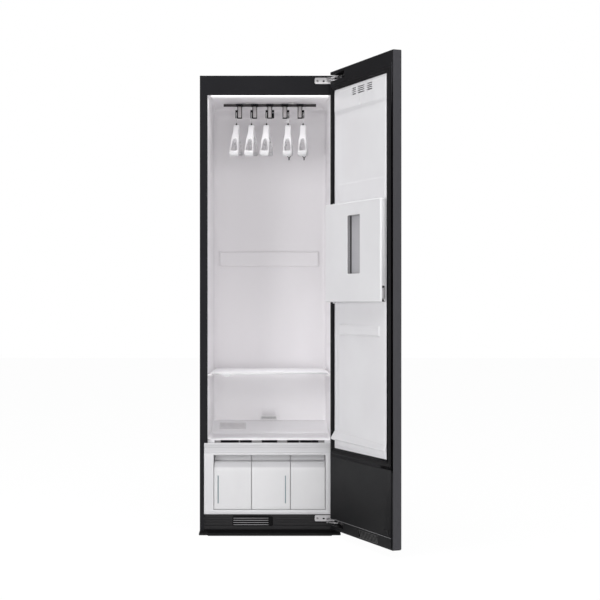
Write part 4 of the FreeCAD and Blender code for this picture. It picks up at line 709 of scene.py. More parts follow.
def makeLatch(s, press):
    # a pocket cut through the cover's free edge, lined in black, with a wedge above the button
    edge = press["window"][0]
    (near, far), (low, high) = s["rise"], s["hole"]
    cutterShape = roundedBox((edge - 3, near, low), (edge + s["deep"], far, high), 1.0, 0.2, onDoor)
    cutter = addPiece("latchCutter", cutterShape, "blackPlastic", "press_lid")
    cut = pressCover.modifiers.new("latchPocket", "BOOLEAN")
    cut.operation, cut.solver, cut.object = "DIFFERENCE", "EXACT", cutter
    bpy.context.view_layer.update()
    evaluated = pressCover.evaluated_get(bpy.context.evaluated_depsgraph_get())
    carved = bpy.data.meshes.new_from_object(evaluated)
    pressCover.modifiers.remove(cut)
    pressCover.data = carved
    bpy.data.objects.remove(cutter)
    first, last = edge + s["lining"][0], edge + s["lining"][1]
    lining = [roundedBox((x, near, z0), (last, far, z1), 0.4, 0.1, onDoor)
              for x, z0, z1 in ((first, low - s["wall"], low + 0.4),
                                (first, high - 0.4, high + s["wall"]), (edge + s["back"], low, high))]
    wedgeX, wedgeZ = (edge + 1.2, edge + 10.8), (s["buttonTop"] + 1.0, high - 0.3)
    wedge = [(wedgeX[0], wedgeZ[0]), (wedgeX[0], wedgeZ[1]), (wedgeX[1], wedgeZ[1]),
             (wedgeX[1], wedgeZ[0])]
    lining.append(carried([wedge, wedge], [near + 0.3, far - 0.3], lambda u, x, z: onDoor(x, u, z)))
    addPiece("latchPocket", together(*lining), "blackPlastic", "press_lid")


makeLatch(latchSettings, pressSettings)
print("trouser press made")

cavitySettings = {"front": 6, "deep": 470, "half": 265, "taper": 7, "corner": 20, "low": 389,
                  "high": 1869, "wall": 3, "coveSide": 15, "coveBack": 48, "coveFrom": 150,
                  "bar": (-229, 223, 1151, 1220), "barRise": 6.0, "barSoft": 4,
                  "outlet": (-40.5, 30.5, 452.5, 467.5), "slotX": (78, 122), "slotDeep": (243, 257),
                  "ledge": (20, 672, 679.7, 40, 447), "middle": (0, -30, 1100)}


def cavityHalf(deep, s):
    # half the cavity's width, which shrinks evenly towards the rear
    return s["half"] - s["taper"] * (deep - s["front"]) / (s["deep"] - s["front"])


def makeCavity(s):
    # the plan's outline climbs the walls and curls over into the ceiling by a quarter ellipse
    backHalf, corner = cavityHalf(s["deep"], s), s["corner"]
    barLeft, barRight, barLow, barHigh = s["bar"]
    outletLeft, outletRight, outletLow, outletHigh = s["outlet"]
    deeps = stationsOf(s["front"], s["deep"] - corner, 40, s["slotDeep"], s["front"] + 2)
    backs = stationsOf(corner - backHalf, backHalf - corner, 26,
                       marks(barLeft + 2, barRight - 2, reach=3, fine=1),
                       [outletLeft, outletRight], [-120, -80, 80, 120])
    turn = np.linspace(0, math.pi / 2, 8)[1:-1]
    arc = np.stack([corner * (1 - np.cos(turn)) - backHalf,
                    s["deep"] - corner * (1 - np.sin(turn))], -1)
    left = np.concatenate([np.stack([-cavityHalf(deeps, s), deeps], -1), arc])
    leftNormal = np.concatenate([np.tile([1.0, 0.0], (len(deeps), 1)),
                                 np.stack([np.cos(turn), np.sin(turn)], -1)])
    rightNormal = leftNormal[::-1] * [-1, 1]
    back = np.stack([backs, np.full(len(backs), float(s["deep"]))], -1)
    plan = np.concatenate([left, back, left[::-1] * [-1, 1]])
    normal = np.concatenate([leftNormal, np.tile([0.0, 1.0], (len(back), 1)), rightNormal])
    levels = stationsOf(s["low"], s["high"] - s["coveBack"], 60, [outletLow, outletHigh],
                        marks(barLow + 2, barHigh - 2, reach=3, fine=1))
    curl = np.linspace(0, math.pi / 2, 10)[1:]
    level = np.concatenate([levels, s["high"] - s["coveBack"] * (1 - np.sin(curl))])
    draw = np.concatenate([np.zeros(len(levels)), 1 - np.cos(curl)])
    # the side's curl is nothing at the front and grows towards the rear
    grow = ease(plan[:, 1], s["front"], s["coveFrom"])
    inset = np.stack([normal[:, 0] * s["coveSide"] * grow, -normal[:, 1] * s["coveBack"]], -1)
    grid = plan[:, None] + inset[:, None] * draw[None, :, None]
    raised = within(plan[:, 0], barLeft, barRight, s["barSoft"]) * (plan[:, 1] > s["deep"] - 1)
    climb = within(level, barLow, barHigh, s["barSoft"])
    deep = grid[..., 1] - s["barRise"] * raised[:, None] * climb
    points = onFront(grid[..., 0], deep, np.broadcast_to(level, grid.shape[:2])).reshape(-1, 3)
    faces = np.array(gridFaces(*grid.shape[:2]))
    x, y, z = points[faces].mean(1).T / mm
    hole = (y > s["deep"] + frontY - 6) & (x > outletLeft) & (x < outletRight)
    hole &= (z > outletLow) & (z < outletHigh)
    walls = points, faces[~hole].tolist()
    # the ceiling's rows join each left station to its partner on the right
    share = (backs - backs[0]) / (backs[-1] - backs[0])
    rows = grid[:len(left) + 1, -1]
    across = rows[:, :1] * (1 - 2 * share)
    top = onFront(across, np.broadcast_to(rows[:, 1:], across.shape), s["high"]).reshape(-1, 3)
    ceiling = np.array(gridFaces(*across.shape))
    x, y, z = top[ceiling].mean(1).T / mm
    slot = (np.abs(x) > s["slotX"][0]) & (np.abs(x) < s["slotX"][1])
    slot &= (y > s["slotDeep"][0] + frontY) & (y < s["slotDeep"][1] + frontY)
    points, faces = together(walls, (top, ceiling[~slot].tolist()))
    quads = np.array(faces)
    inward = inFrame(*s["middle"]) - points[quads].mean(1)
    flip = (quadNormals(points, quads) * inward).sum(1) < 0
    faces = [face[::-1] if turned else face for face, turned in zip(faces, flip)]
    piece = addPiece("cavityShell", (points, faces), "wallWhite", "cabinet", ["cavity_liner"],
                     angle=40, outward=False)
    cleanMesh(piece.data, 1e-5, outward=False)
    thicken(piece, s["wall"], False)

    width, low, high, front, back = s["ledge"]
    ledges = []
    for side in (-1, 1):
        def place(u, t, v, side=side):
            return onFront(side * (cavityHalf(v, s) + 1 - u), v, t)
        ledges.append(roundedBox((0, low, front), (width, high, back), 3, 2.5, place))
    addPiece("shelfLedges", together(*ledges), "wallWhite", "cabinet")


makeCavity(cavitySettings)

floorSettings = {"front": 29.5, "rear": 0.5, "lipRound": 3, "lipDrop": 1.0, "level": 398.4,
                 "step": (341, 12, 7), "slope": (350, 42), "sideRound": 16, "sideRise": 9, "side": 0.8,
                 "wall": 0.9, "hole": (-224, -112, 382.6, 437.4), "holeHalf": 259.0,
                 "dimple": (64, 433, 9, 6, 1.6)}


def floorLevel(x, deep, s, cavity):
    # nearly level, a soft step, then a steady climb; the rim curls up at both side walls
    start, width, rise = s["step"]
    level = s["level"] + rise * ease(deep, start, width)
    slopeFrom, climb = s["slope"]
    level = level + climb * np.clip((deep - slopeFrom) / (cavity["deep"] - slopeFrom), 0, 1)
    nose = np.clip(1 - (deep - s["front"]) / s["lipRound"], 0, 1)
    level = level - s["lipDrop"] * (1 - np.sqrt(1 - nose * nose))
    side = np.clip(1 - (cavityHalf(deep, cavity) - np.abs(x)) / s["sideRound"], 0, 1)
    level = level + s["sideRise"] * (1 - np.sqrt(1 - side * side))
    x0, deep0, a, b, height = s["dimple"]
    reach = ((x - x0) / a) ** 2 + ((deep - deep0) / b) ** 2
    return level + height * ease(1.25 - reach, 0, 0.5)


def makeFloor(s, cavity):
    # u runs from -1 to 1 across the cavity, whose rear corners round the sheet off
    x0, x1, deep0, deep1 = s["hole"]
    dimpleX, dimpleDeep = s["dimple"][:2]
    side = 1 - np.array([0, 0.02, 0.08, 0.2, 0.4, 0.7, 1]) * s["sideRound"] / cavity["half"]
    us = stationsOf(-1.0, 1.0, 0.05, side, -side, np.array([x0, x1]) / s["holeHalf"],
                    np.linspace(dimpleX - 16, dimpleX + 16, 17) / s["holeHalf"])
    deeps = stationsOf(s["front"], cavity["deep"] - s["rear"], 16, [deep0, deep1],
                       s["front"] + np.array([0.3, 1, 2, 3.4, 5]),
                       np.arange(s["step"][0] - 2, s["step"][0] + 15, 1.5),
                       np.arange(dimpleDeep - 9, dimpleDeep + 11, 1.5))

    def place(u, deep):
        half, corner = cavityHalf(deep, cavity), cavity["corner"]
        away = np.clip((deep - cavity["deep"] + corner) / corner, 0, 1)
        limit = half - corner * (1 - np.sqrt(1 - away ** 2))
        x = np.clip(u * (half + s["side"]), -limit, limit)
        return onFront(x, deep, floorLevel(x, deep, s, cavity))

    shape = sheetGrid(us, deeps, place, [(x0 / s["holeHalf"], x1 / s["holeHalf"], deep0, deep1)])
    addSheet("cavityFloor", shape, "floorWhite", "cabinet", (0, 0, 1), s["wall"], ["cavity_floor"],
             angle=40)


makeFloor(floorSettings, cavitySettings)

riserSettings = {"x": (-236, 233), "z": (389.0, 397.6), "deep": 28.2, "slotZ": (389.5, 397.3),
                 "thick": 2.6, "sill": (3.6, 27.6, 389.1, 389.7),
                 "slots": [(-210, -132), (-128, -77), (-34.5, 31.5), (74, 125), (129, 207)],
                 "ends": [(-263.5, -236.5), (233.5, 263.5)]}


def makeRiser(s):
    # a sheet with slots; below each slot the sill holds a black plate, between them a grey strip, and
    # beside them stand pale blocks; all black plates, also those in and behind the slots, and the grey
    # strip are painted shade of a drain trough
    (left, right), (bottom, top), deep = s["x"], s["z"], s["deep"]
    slotLow, slotHigh = s["slotZ"]
    front, back, low, high = s["sill"]
    shape = sheetGrid(stationsOf(left, right, 20, np.ravel(s["slots"])),
                      [bottom, slotLow, slotHigh, top], lambda x, z: onFront(x, deep, z),
                      [(*slot, slotLow, slotHigh) for slot in s["slots"]])
    black = [roundedBox((left + 2, deep + 4, bottom + 0.2), (right - 2, deep + 5, top - 0.2), 0.5, 0.2,
                        onFront)]
    for x0, x1 in s["slots"]:
        for near, far, upper in ((front + 0.5, back, high), (deep - 0.3, deep + 0.5, slotHigh + 1.1)):
            black.append(roundedBox((x0, near, low), (x1, far, upper), 0.3, 0.15, onFront))
    strip = roundedBox((left, front, low - 0.3), (right, back, high - 0.25), 0.4, 0.15, onFront)
    blocks = [roundedBox((x0, deep - 0.6, bottom), (x1, deep + 3, top + 0.2), 0.5, 0.2, onFront)
              for x0, x1 in s["ends"]]
    addPiece("drainShade", together(*black), "slotBlack", "cabinet")
    addPiece("drainStrip", strip, "riserGrey", "cabinet")
    addPiece("drainEnds", together(*blocks), "linerWhite", "cabinet")
    addSheet("drainRiser", shape, "riserGrey", "cabinet", (0, -1, 0), s["thick"], ["drain_grille"])


makeRiser(riserSettings)

shelfSettings = {"half": 252.6, "front": 31, "back": 447, "top": 687, "low": 680.2, "sheet": 3,
                 "rim": 4, "corner": 9, "edge": 2.2, "foot": 0.8, "sideGap": 12.4, "lipThick": 4.5,
                 "lipLow": 676.8, "lipEnd": 683.0, "bow": (-226, 22, -58, 217),
                 "tab": (-207, -158, 7.5), "tabSoft": 13}


def makeShelf(s, cavity):
    # rings climb from the hollow underside, round the rim, to the flat top; the lip's foot
    # swings with x
    outer, edge = (-s["half"], s["half"], s["front"], s["back"]), s["edge"]

    def place(u, t, v):
        return onFront(u * (cavityHalf(v, cavity) - s["sideGap"]) / s["half"], v, t)

    rings = [ringOf(outer, -s["rim"], 5, s["top"] - s["sheet"]), ringOf(outer, -s["rim"], 5, s["low"]),
             ringOf(outer, -s["foot"], s["corner"], s["low"]),
             ringOf(outer, 0, s["corner"], s["low"] + s["foot"])]
    rings += [ringOf(outer, -edge * (1 - math.cos(a)), s["corner"], s["top"] - edge * (1 - math.sin(a)))
              for a in np.linspace(0, math.pi / 2, 5)]
    plate = ringBody(rings, place)
    tabLeft, tabRight, tabDrop = s["tab"]
    xs = stationsOf(6 - s["half"], s["half"] - 6, 12, np.arange(tabLeft - 7, tabRight + 8, 3))
    bowFrom, bowSoft, bowTo, bowWidth = s["bow"]
    bow = ease(xs, bowFrom, bowSoft) * (1 - np.clip((xs - bowTo) / bowWidth, 0, 1))
    drop = tabDrop * within(xs, tabLeft, tabRight, s["tabSoft"])
    foot = s["lipEnd"] + (s["lipLow"] - s["lipEnd"]) * bow - drop
    front, thick = s["front"] - 0.4, s["lipThick"]
    # the lip's section: depth, and height as a share from its foot to the shelf's top
    profile = np.array([(front + 0.9, 1.0), (front + 0.2, 0.86), (front, 0.7), (front, 0.3),
                        (front + 0.4, 0.08), (front + 1.4, 0), (front + thick - 1, 0),
                        (front + thick, 0.1), (front + thick, 0.9), (front + thick, 1.0)])
    z = foot[:, None] + (s["top"] - 0.9 - foot[:, None]) * profile[None, :, 1]
    lip = carried(np.stack([np.broadcast_to(profile[None, :, 0], z.shape), z], -1), xs, onFront)
    piece = addPiece("shelf", together(plate, lip), "shelfWhite", "shelf", ["shelf"],
                     angle=40)
    # painted shade: the lip's front faces take a darker white than the shelf's top
    accent(piece, "lipShadeWhite", lambda c: c[:, 1] < frontY + s["front"] + 1.5)


makeShelf(shelfSettings, cavitySettings)
print("cavity, floor, riser and shelf made")

bezelSettings = {"half": 280, "low": 85, "high": 389, "thick": 4, "sill": 44, "nose": 4,
                 "opening": (-239, 237, 104, 337), "lip": (0.5, 0.6), "reveal": (0.9, 3.5, 9.5),
                 "lines": (377.2, 365.3, 345.4), "lineDeep": 1.5, "lineWide": 1.2, "dish": 1.2,
                 "foot": 1.2, "end": (1.3, 1.5)}


def makeBezel(s):
    # the face climbs to a rounded nose and turns back into the sill; a groove is as deep as
    # a / (1 + ((z - z0) / w) ^ 4)
    left, right, low, high = s["opening"]
    (lipDeep, lipWide), (endDeep, endWide) = s["lip"], s["end"]
    faceZ = stationsOf(s["low"], s["high"] - s["nose"], 12, [low, high, low - lipWide, high + lipWide],
                       s["low"] + np.array([0.5, 1.2]), marks(*s["lines"], reach=3, fine=0.75),
                       np.arange(345, 380, 3))
    turn = np.linspace(0, math.pi / 2, 7)[1:]
    sill = np.array([8, 14, 20, 27, 36, s["sill"]])
    z = np.concatenate([faceZ, s["high"] - s["nose"] * (1 - np.sin(turn)),
                        np.full(len(sill), float(s["high"]))])
    deep = np.concatenate([s["dish"] * ease(faceZ, 346, 12) * ease(378 - faceZ, 0, 10),
                           s["nose"] * (1 - np.cos(turn)), sill])
    for line in s["lines"]:
        groove = s["lineDeep"] / (1 + ((z - line) / s["lineWide"]) ** 4)
        deep = deep + np.where(z < s["high"] - s["nose"], groove, 0)
    deep = deep + s["foot"] * np.clip(1 - (z - s["low"]) / s["foot"], 0, 1) ** 2
    xs = stationsOf(-s["half"], s["half"], 20, [left, right, left - lipWide, right + lipWide],
                    nearEnds(-s["half"], s["half"], 0.3, 0.8, 1.5))

    def place(x, k):
        k = k.astype(int)
        end = np.clip(1 - (s["half"] - np.abs(x)) / endWide, 0, 1)
        away = np.maximum(np.maximum(left - x, x - right), np.maximum(low - z[k], z[k] - high))
        lip = lipDeep * np.clip(1 - away / lipWide, 0, 1)
        return onFront(x, deep[k] + endDeep * end * end + lip, z[k])

    first, last = np.searchsorted(faceZ, [low, high])
    shape = sheetGrid(xs, np.arange(len(z)), place, [(left, right, first, last)])
    addSheet("drawerSurround", shape, "bezelWhite", "cabinet", (0, -1, 0), s["thick"], ["lower_bezel"],
             angle=50)
    near, middle, far = s["reveal"]
    steps = [(0.1, near), (0.1, far), (3, far), (3, middle)]
    rims = [ringOf(s["opening"], grow, 1.2, level) for grow, level in steps]
    # painted shade: the reveal round the drawers is grey, the shade in the gap
    addPiece("drawerReveal", ringBody(rims, onFront, closed=True), "recessShadeGrey", "cabinet")


makeBezel(bezelSettings)

drawerSettings = {"edges": [-238.0, -78, 88, 236.0], "gap": 0.9, "low": 105.4, "rollFrom": 268,
                  "slopeTop": 309, "slopeDeep": 14, "lean": (0.12, 0.88, 2.4), "foot": (1.4, 2.2),
                  "round": 2.2, "sideDeep": 1.6, "skin": 3.4,
                  "windows": [(-220, 132, 249), (66.5, 132, 249)], "windowHalf": 2.1,
                  "windowDeep": 2.6, "windowSoft": 0.4, "tub": (4.5, 204, 300), "tubGap": 2.5,
                  "tubWall": 2.5,
                  "grip": [(14.9, 309.9), (16.2, 310.4), (20, 310.2), (28, 309.6), (34, 309.4),
                           (36.4, 310.2), (37.6, 311.8), (38, 314), (38, 322), (38, 330), (38, 334),
                           (38.3, 335.6), (39.2, 336.2)]}


def drawerProfile(s):
    # flat, then a curve that leans back faster as it climbs, a ledge, and the grip's rear wall
    flat = stationsOf(s["low"], s["rollFrom"], 14, s["low"] + np.array([0.2, 0.6, 1.2, 2.2]),
                      marks(*s["windows"][0][1:], reach=1, fine=0.5))
    roll = np.linspace(s["rollFrom"], s["slopeTop"], 16)[1:]
    share = (roll - s["rollFrom"]) / (s["slopeTop"] - s["rollFrom"])
    even, faster, power = s["lean"]
    footDeep, footHigh = s["foot"]
    foot = footDeep * np.clip(1 - (flat - s["low"]) / footHigh, 0, 1) ** 2
    gripDeep, gripZ = np.array(s["grip"], float).T
    deep = np.concatenate([foot, s["slopeDeep"] * (even * share + faster * share ** power), gripDeep])
    return deep, np.concatenate([flat, roll, gripZ])


def makeDrawer(number, name, body, stands, s):
    deep, z = drawerProfile(s)
    left, right = s["edges"][number] + s["gap"], s["edges"][number + 1] - s["gap"]
    window = s["windows"][number] if number < len(s["windows"]) else None
    half, soft = s["windowHalf"], s["windowSoft"]
    extra = [nearEnds(left, right, 0.15, 0.5, 1.1, 2.2)]
    if window:
        extra.append(window[0] + np.array([-half - soft, -half, half, half + soft]))

    def place(x, k):
        k = k.astype(int)
        side = np.clip(1 - np.minimum(x - left, right - x) / s["round"], 0, 1)
        out = deep[k] + s["sideDeep"] * (1 - np.sqrt(1 - side * side))
        if window:
            x0, low, high = window
            dip = ease(half + soft - np.abs(x - x0), 0, soft) * within(z[k], low - 1, high + 1, 1)
            out = out + s["windowDeep"] * dip * (deep[k] < 2)
        return onFront(x, out, z[k])

    shape = sheetGrid(stationsOf(left, right, 18, *extra), np.arange(len(z)), place)
    front = addSheet(name + "Front", shape, "drawerWhite", body, (0, -1, 0), s["skin"], stands,
                     angle=45)
    ledge = frontY + s["slopeDeep"] + 0.5, s["slopeTop"] + 0.6
    # painted light: the ledge behind the grip's slope takes the shelf's lighter white
    accent(front, "shelfWhite", lambda c: (c[:, 1] > ledge[0]) & (c[:, 2] < ledge[1]))
    if window:
        x0, low, high = window
        accent(front, "waterWindow", lambda c: (np.abs(c[:, 0] - x0) < half) & (c[:, 2] > low - 0.6)
               & (c[:, 2] < high + 0.6))
        glass = roundedBox((x0 - 1.6, s["windowDeep"] - 0.9, low + 0.8),
                           (x0 + 1.6, s["windowDeep"] + 0.2, high - 0.8),
                           1.5, 0.4, onFront)
        addPiece(name + "Gauge", glass, "waterWindow", body)


makeDrawer(0, "fillTank", "fill_tank", ["fill_tank_front"], drawerSettings)
makeDrawer(1, "drainTank", "drain_tank", ["drain_tank_front"], drawerSettings)
makeDrawer(2, "storageDrawer", "storage_drawer", ["storage_drawer"], drawerSettings)


def makeTub(s):
    # an open tub: rings (inset, level) go up its outside, over the rim and down its inside
    front, back, top = s["tub"]
    window = (s["edges"][2] + s["tubGap"], s["edges"][3] - s["tubGap"], front, back)
    low, wall = s["low"] + 1.0, s["tubWall"]
    outside = [(5, low), (2, low + 0.6), (0.6, low + 2), (0, low + 5), (0, top - 1), (0.5, top)]
    inside = [(-0.5, top), (0, top - 1), (0, low + wall + 6), (2, low + wall + 1.5), (6, low + wall)]
    rings = [ringOf(window, -inset, 9, level) for inset, level in outside]
    rings += [ringOf(window, -(wall + inset), 7, level) for inset, level in inside]
    tub = ringBody(rings, lambda u, t, v: onFront(u, v, t))
    addPiece("storageTub", tub, "drawerWhite", "storage_drawer")


makeTub(drawerSettings)
print("surround and drawers made")

fasciaSettings = {"half": 280, "low": 14, "high": 85, "thick": 8, "inset": 0.2,
                  "hole": (-158, 13, 35, 75), "grooves": (71.4, 60.8, 51.0, 36.5), "grooveDeep": 1.3,
                  "grooveWide": 0.9, "fade": 4}


def makeFascia(s):
    # each groove goes a / (1 + ((z - z0) / w) ^ 4) and fades out beside the grille
    x0, x1, z0, z1 = s["hole"]
    zs = stationsOf(s["low"], s["high"], 10, [z0, z1, s["high"] - 0.4, s["high"] - 1],
                    marks(*s["grooves"], reach=2.4, fine=0.6))
    xs = stationsOf(-s["half"], s["half"], 20, [x0, x1, x0 - s["fade"], x1 + s["fade"]])

    def place(x, z):
        away = ease(np.maximum(x0 - x, x - x1), 0, s["fade"])
        deep = sum(s["grooveDeep"] / (1 + ((z - groove) / s["grooveWide"]) ** 4)
                   for groove in s["grooves"])
        return onFront(x, s["inset"] + deep * away, z)

    addSheet("baseFascia", sheetGrid(xs, zs, place, [s["hole"]]), "fasciaBlack", "cabinet", (0, -1, 0),
             s["thick"], ["base_fascia"])


makeFascia(fasciaSettings)

grilleSettings = {"window": (-158, 13, 35, 75), "blank": 17, "rim": 1.4, "corner": 5,
                  "innerCorner": 3.5, "deep": 11.5, "slats": 4, "slat": 2.7, "slatFrom": 0.42,
                  "slatRear": [(4.2, 1.5), (4.8, 1.2), (4.8, 0.0), (4.0, -0.6)]}


def makeGrille(s):
    outer, corner = s["window"], s["corner"]
    x0, x1, z0, z1 = outer
    inner = (x0 + 3, x1 - s["blank"] - 2, z0 + s["rim"], z1 - s["rim"])
    rings = [ringOf(outer, 0, corner, s["deep"]), ringOf(outer, 0, corner, 0.9),
             ringOf(outer, -0.5, corner, 0.2), ringOf(outer, -1.2, corner, 0.05),
             ringOf(inner, 0.6, 4, 0.1),
             ringOf(inner, 0, s["innerCorner"], 1.0), ringOf(inner, 0, s["innerCorner"], s["deep"])]
    addPiece("baseGrilleFrame", ringBody(rings, onFront, closed=True), "slotBlack", "cabinet",
             ["base_grille"], angle=45)
    # a slat is a leaf with a rounded nose that leans down towards the front
    pitch = (inner[3] - inner[2]) / s["slats"]
    turn = np.linspace(-math.pi / 2, math.pi / 2, 7)
    nose = np.stack([2.0 - 1.5 * np.cos(turn), s["slat"] / 2 * np.sin(turn)], -1)
    leaf = np.concatenate([nose, s["slatRear"]])
    slats = [carried([leaf + [0, inner[2] + pitch * (number + s["slatFrom"])]] * 2,
                     [inner[0] - 0.5, inner[1] + 0.5], onFront) for number in range(s["slats"])]
    addPiece("baseGrilleSlats", together(*slats), "slatGrey", "cabinet", angle=50)
    shade = roundedBox((x0 + 2, 9.6, z0 + 1), (x1 - 2, 11.0, z1 - 1), 1.5, 0.4, onFront)
    addPiece("baseGrilleShade", shade, "slotBlack", "cabinet")
    cap = roundedBox((x1 - s["blank"] + 1, -0.2, z0 + 3), (x1 - 3, 1.1, z1 - 3), 5, 0.8, onFront)
    addPiece("baseGrilleCap", cap, "slotBlack", "cabinet")


makeGrille(grilleSettings)

plinthSettings = {"half": 300, "back": 274, "nose": -318, "low": 2.6, "wall": 24, "wallTop": 10.5,
                  "stripHalf": 262, "stripNose": -322, "stripRound": 1.8, "stripTop": 9.2,
                  "stripEnd": 0.8}


def makePlinth(s):
    # the skirt climbs to a sloping nose and a flat top; a long strip lies along the nose
    wall, half, back, nose, low = s["wall"], s["half"], s["back"], s["nose"], s["low"]
    rows = [(frontY + wall, back - wall, half - wall, 3, s["wallTop"]),
            (frontY + wall, back - wall, half - wall, 3, low),
            (nose + 0.6, back - 0.4, half - 0.6, 2, low), (nose, back, half, 2, low + 0.8),
            (nose, back, half, 2, 9.0), (nose + 0.8, back, half - 0.3, 2, 10.2),
            (nose + 3, back, half - 0.5, 2, 10.9), (frontY - 0.5, back, half - 1, 2, 13.6),
            (frontY + 0.5, back, half - 1.5, 2, 14.0)]
    rings = [ringOf((-reach, reach, near, far), 0, corner, level)
             for near, far, reach, corner, level in rows]
    addPiece("plinth", ringBody(rings, lambda u, t, v: inFrame(u, v, t)), "plinthBlack", "cabinet",
             ["base_frame"], angle=30)
    turn = np.linspace(math.pi / 2, 0, 5)
    tip, bend = s["stripNose"], s["stripRound"]
    bow = np.stack([tip + bend * (1 - np.sin(turn)), s["stripTop"] + bend * np.cos(turn)], -1)
    profile = np.concatenate([[(tip + 6, 0.6), (tip + 0.8, 0.6), (tip, 1.2)], bow,
                              [(-300, 12.6), (-281, 13.7), (-281, 10.0)]])
    end = profile + [1.0, -0.3]
    stations = [-s["stripHalf"], s["stripEnd"] - s["stripHalf"], s["stripHalf"] - s["stripEnd"],
                s["stripHalf"]]
    strip = carried([end, profile, profile, end], stations, inFrame)
    addPiece("plinthStrip", strip, "plinthGrey", "cabinet", angle=30)


makePlinth(plinthSettings)
print("fascia, grille and plinth made")

railSettings = {"half": 205, "y": (-29.2, -18.2), "z": (1853.2, 1864.8), "corner": 1.5, "edge": 0.8}
carrierSettings = {"places": [-133.4, -66.7, 0.0, 66.7, 133.4], "sides": [-1, -1, -1, 1, 1],
                   "half": 10.5, "y": (-31.1, -20), "z": (1800.6, 1853), "tongueY": (-31.6, -29.3),
                   "tongueTop": 1861, "plateHalf": 7.4, "plateY": (-32, -30.6),
                   "plateZ": (1804.6, 1852.5), "offset": 14.3,
                   "capHalf": 2.05, "capY": (-29.0, -14.6), "capZ": (1829.2, 1838.2)}


def makeRail(s, c):
    # a sleeve over the rail; each carrier is a black body with a grey plate and a cap on each peg
    sleeve = roundedBox((-s["half"], s["y"][0], s["z"][0]), (s["half"], s["y"][1], s["z"][1]),
                        s["corner"], s["edge"], inFrame)
    addPiece("railSleeve", sleeve, "railMetal", "rail")

    def slab(x, half, y, z, corner, edge):
        return roundedBox((x - half, y[0], z[0]), (x + half, y[1], z[1]), corner, edge, inFrame)

    bodies, plates, caps = [], [], []
    for x, side in zip(c["places"], c["sides"]):
        bodies.append(slab(x, c["half"], c["y"], c["z"], 1.6, 0.6))
        bodies.append(slab(x, c["half"] - 1, c["tongueY"], (c["z"][1] - 4, c["tongueTop"]), 1.2, 0.4))
        plates.append(slab(x, c["plateHalf"], c["plateY"], c["plateZ"], 1.8, 0.5))
        for way in (side,) if x else (side, -side):
            caps.append(slab(x + way * c["offset"], c["capHalf"], c["capY"], c["capZ"], 1.0, 0.4))
    addPiece("carrierBodies", together(*bodies), "slotBlack", "rail", ["rail_carriers"])
    addPiece("carrierPlates", together(*plates), "carrierFace", "rail")
    addPiece("pegCaps", together(*caps), "slotBlack", "rail")


makeRail(railSettings, carrierSettings)

hangerSettings = {"pegY": -24.0, "pegZ": 1822.0, "twists": [3.0, 3.7, 3.7, 2.4, 3.0], "flat": 14,
                  "neckZ": -51, "neckDeep": 24, "tip": (148, -179), "end": 151.5, "foot": -202,
                  "footRise": 5, "bend": 3.4, "under": [(126, -191), (138, -201.5), (143, -203)],
                  "half": [(12.2, 0, 0), (5.4, 48, 50), (1.9, 95, 55)], "edge": 3.2, "skin": 2.2,
                  "hole": (84, 147, 6.5, 15.0), "holeEnds": (8, 5), "rearShare": 0.2, "tipRound": 11,
                  "ribs": (36, 56, 76, 96, 116), "ribThick": 1.4, "ribDeep": (0.1, 0.8), "hook": 4.8,
                  "wire": 1.4, "stem": [(-7, 1), (-20, 0), (-46, 0)],
                  "collar": [(-41.0, 1.5), (-41.6, 2.2), (-42.6, 2.5), (-44, 2.8), (-46.4, 3.2),
                             (-49.5, 3.6), (-50.9, 3.2)],
                  "clip": [(8.5, 7), (7.5, 1), (0.9, -9), (0.6, -19)], "clipBack": 6.0,
                  "clipThick": 1.9, "clipped": (3, 4)}


def hangerRows(s):
    # along one arm: the outer line, the line of the skirt's foot below it, half width and the
    # hole's half width
    (tipY, tipZ), end, foot, neck = s["tip"], s["end"], s["foot"], s["neckZ"]
    line = roundedPath([(0, neck), (s["flat"], neck), (tipY, tipZ), (end, tipZ - 8),
                        (end, foot + s["footRise"]), (end - 5.5, foot)], s["bend"], 6)
    run = np.concatenate([[0], np.cumsum(np.linalg.norm(np.diff(line, axis=0), axis=1))])
    start, stop, narrow, wide = s["hole"]
    far = np.argmax(line[:, 0]) + 1
    cut = np.interp([start, stop], line[:far, 0], run[:far])
    stops = stationsOf(0, run[-1], 9, cut[0] + np.array([0, 0.6, 1.6, 3, 5, 8]),
                       cut[1] - np.array([0, 0.6, 1.6, 3, 5]),
                       np.arange(run[-1] - 34, run[-1], 2.2), run[-1] - np.array([0.5, 1.1]))
    y = np.interp(stops, run, line[:, 0])
    z = np.interp(stops, run, line[:, 1])
    corners = np.interp([s["flat"], tipY], line[:far, 0], run[:far])
    bends = [0, *corners, run[-1] - 4, run[-1]]
    under = np.array([(0, neck - s["neckDeep"]), (s["flat"], neck - s["neckDeep"]), *s["under"]])
    underY, underZ = (np.interp(stops, bends, under[:, k]) for k in (0, 1))
    (plain, *_), (more, moreFrom, moreWidth), (last, lastFrom, lastWidth) = s["half"]
    half = plain + more * ease(y, moreFrom, moreWidth) + last * ease(y, lastFrom, lastWidth)
    rest = np.clip((foot + s["tipRound"] - z) / s["tipRound"], 0, 1)
    half = half - s["tipRound"] * (1 - np.sqrt(1 - rest ** 2 * 0.98))
    # the hole's half width: rounded at both ends, and a narrow seam beyond them
    startRound = np.clip(1 - (stops - cut[0]) / s["holeEnds"][0], 0, 1)
    stopRound = np.clip(1 - (cut[1] - stops) / s["holeEnds"][1], 0, 1)
    opening = np.interp(y, [start, stop], [narrow, wide])
    opening = opening * np.sqrt(1 - 0.97 * startRound ** 2) * np.sqrt(1 - 0.75 * stopRound ** 2)
    inside = (stops >= cut[0] - 1e-3) & (stops <= cut[1] + 1e-3)
    away = np.minimum(np.abs(stops - cut[0]), np.abs(stops - cut[1]))
    hole = np.where(inside, opening, np.minimum(half * 0.5, 1.5 + 0.5 * away))
    hole = np.where(stops > cut[1] + 1e-3, half * 0.5, hole)
    return np.stack([y, z, underY, underZ, half, hole], -1), inside


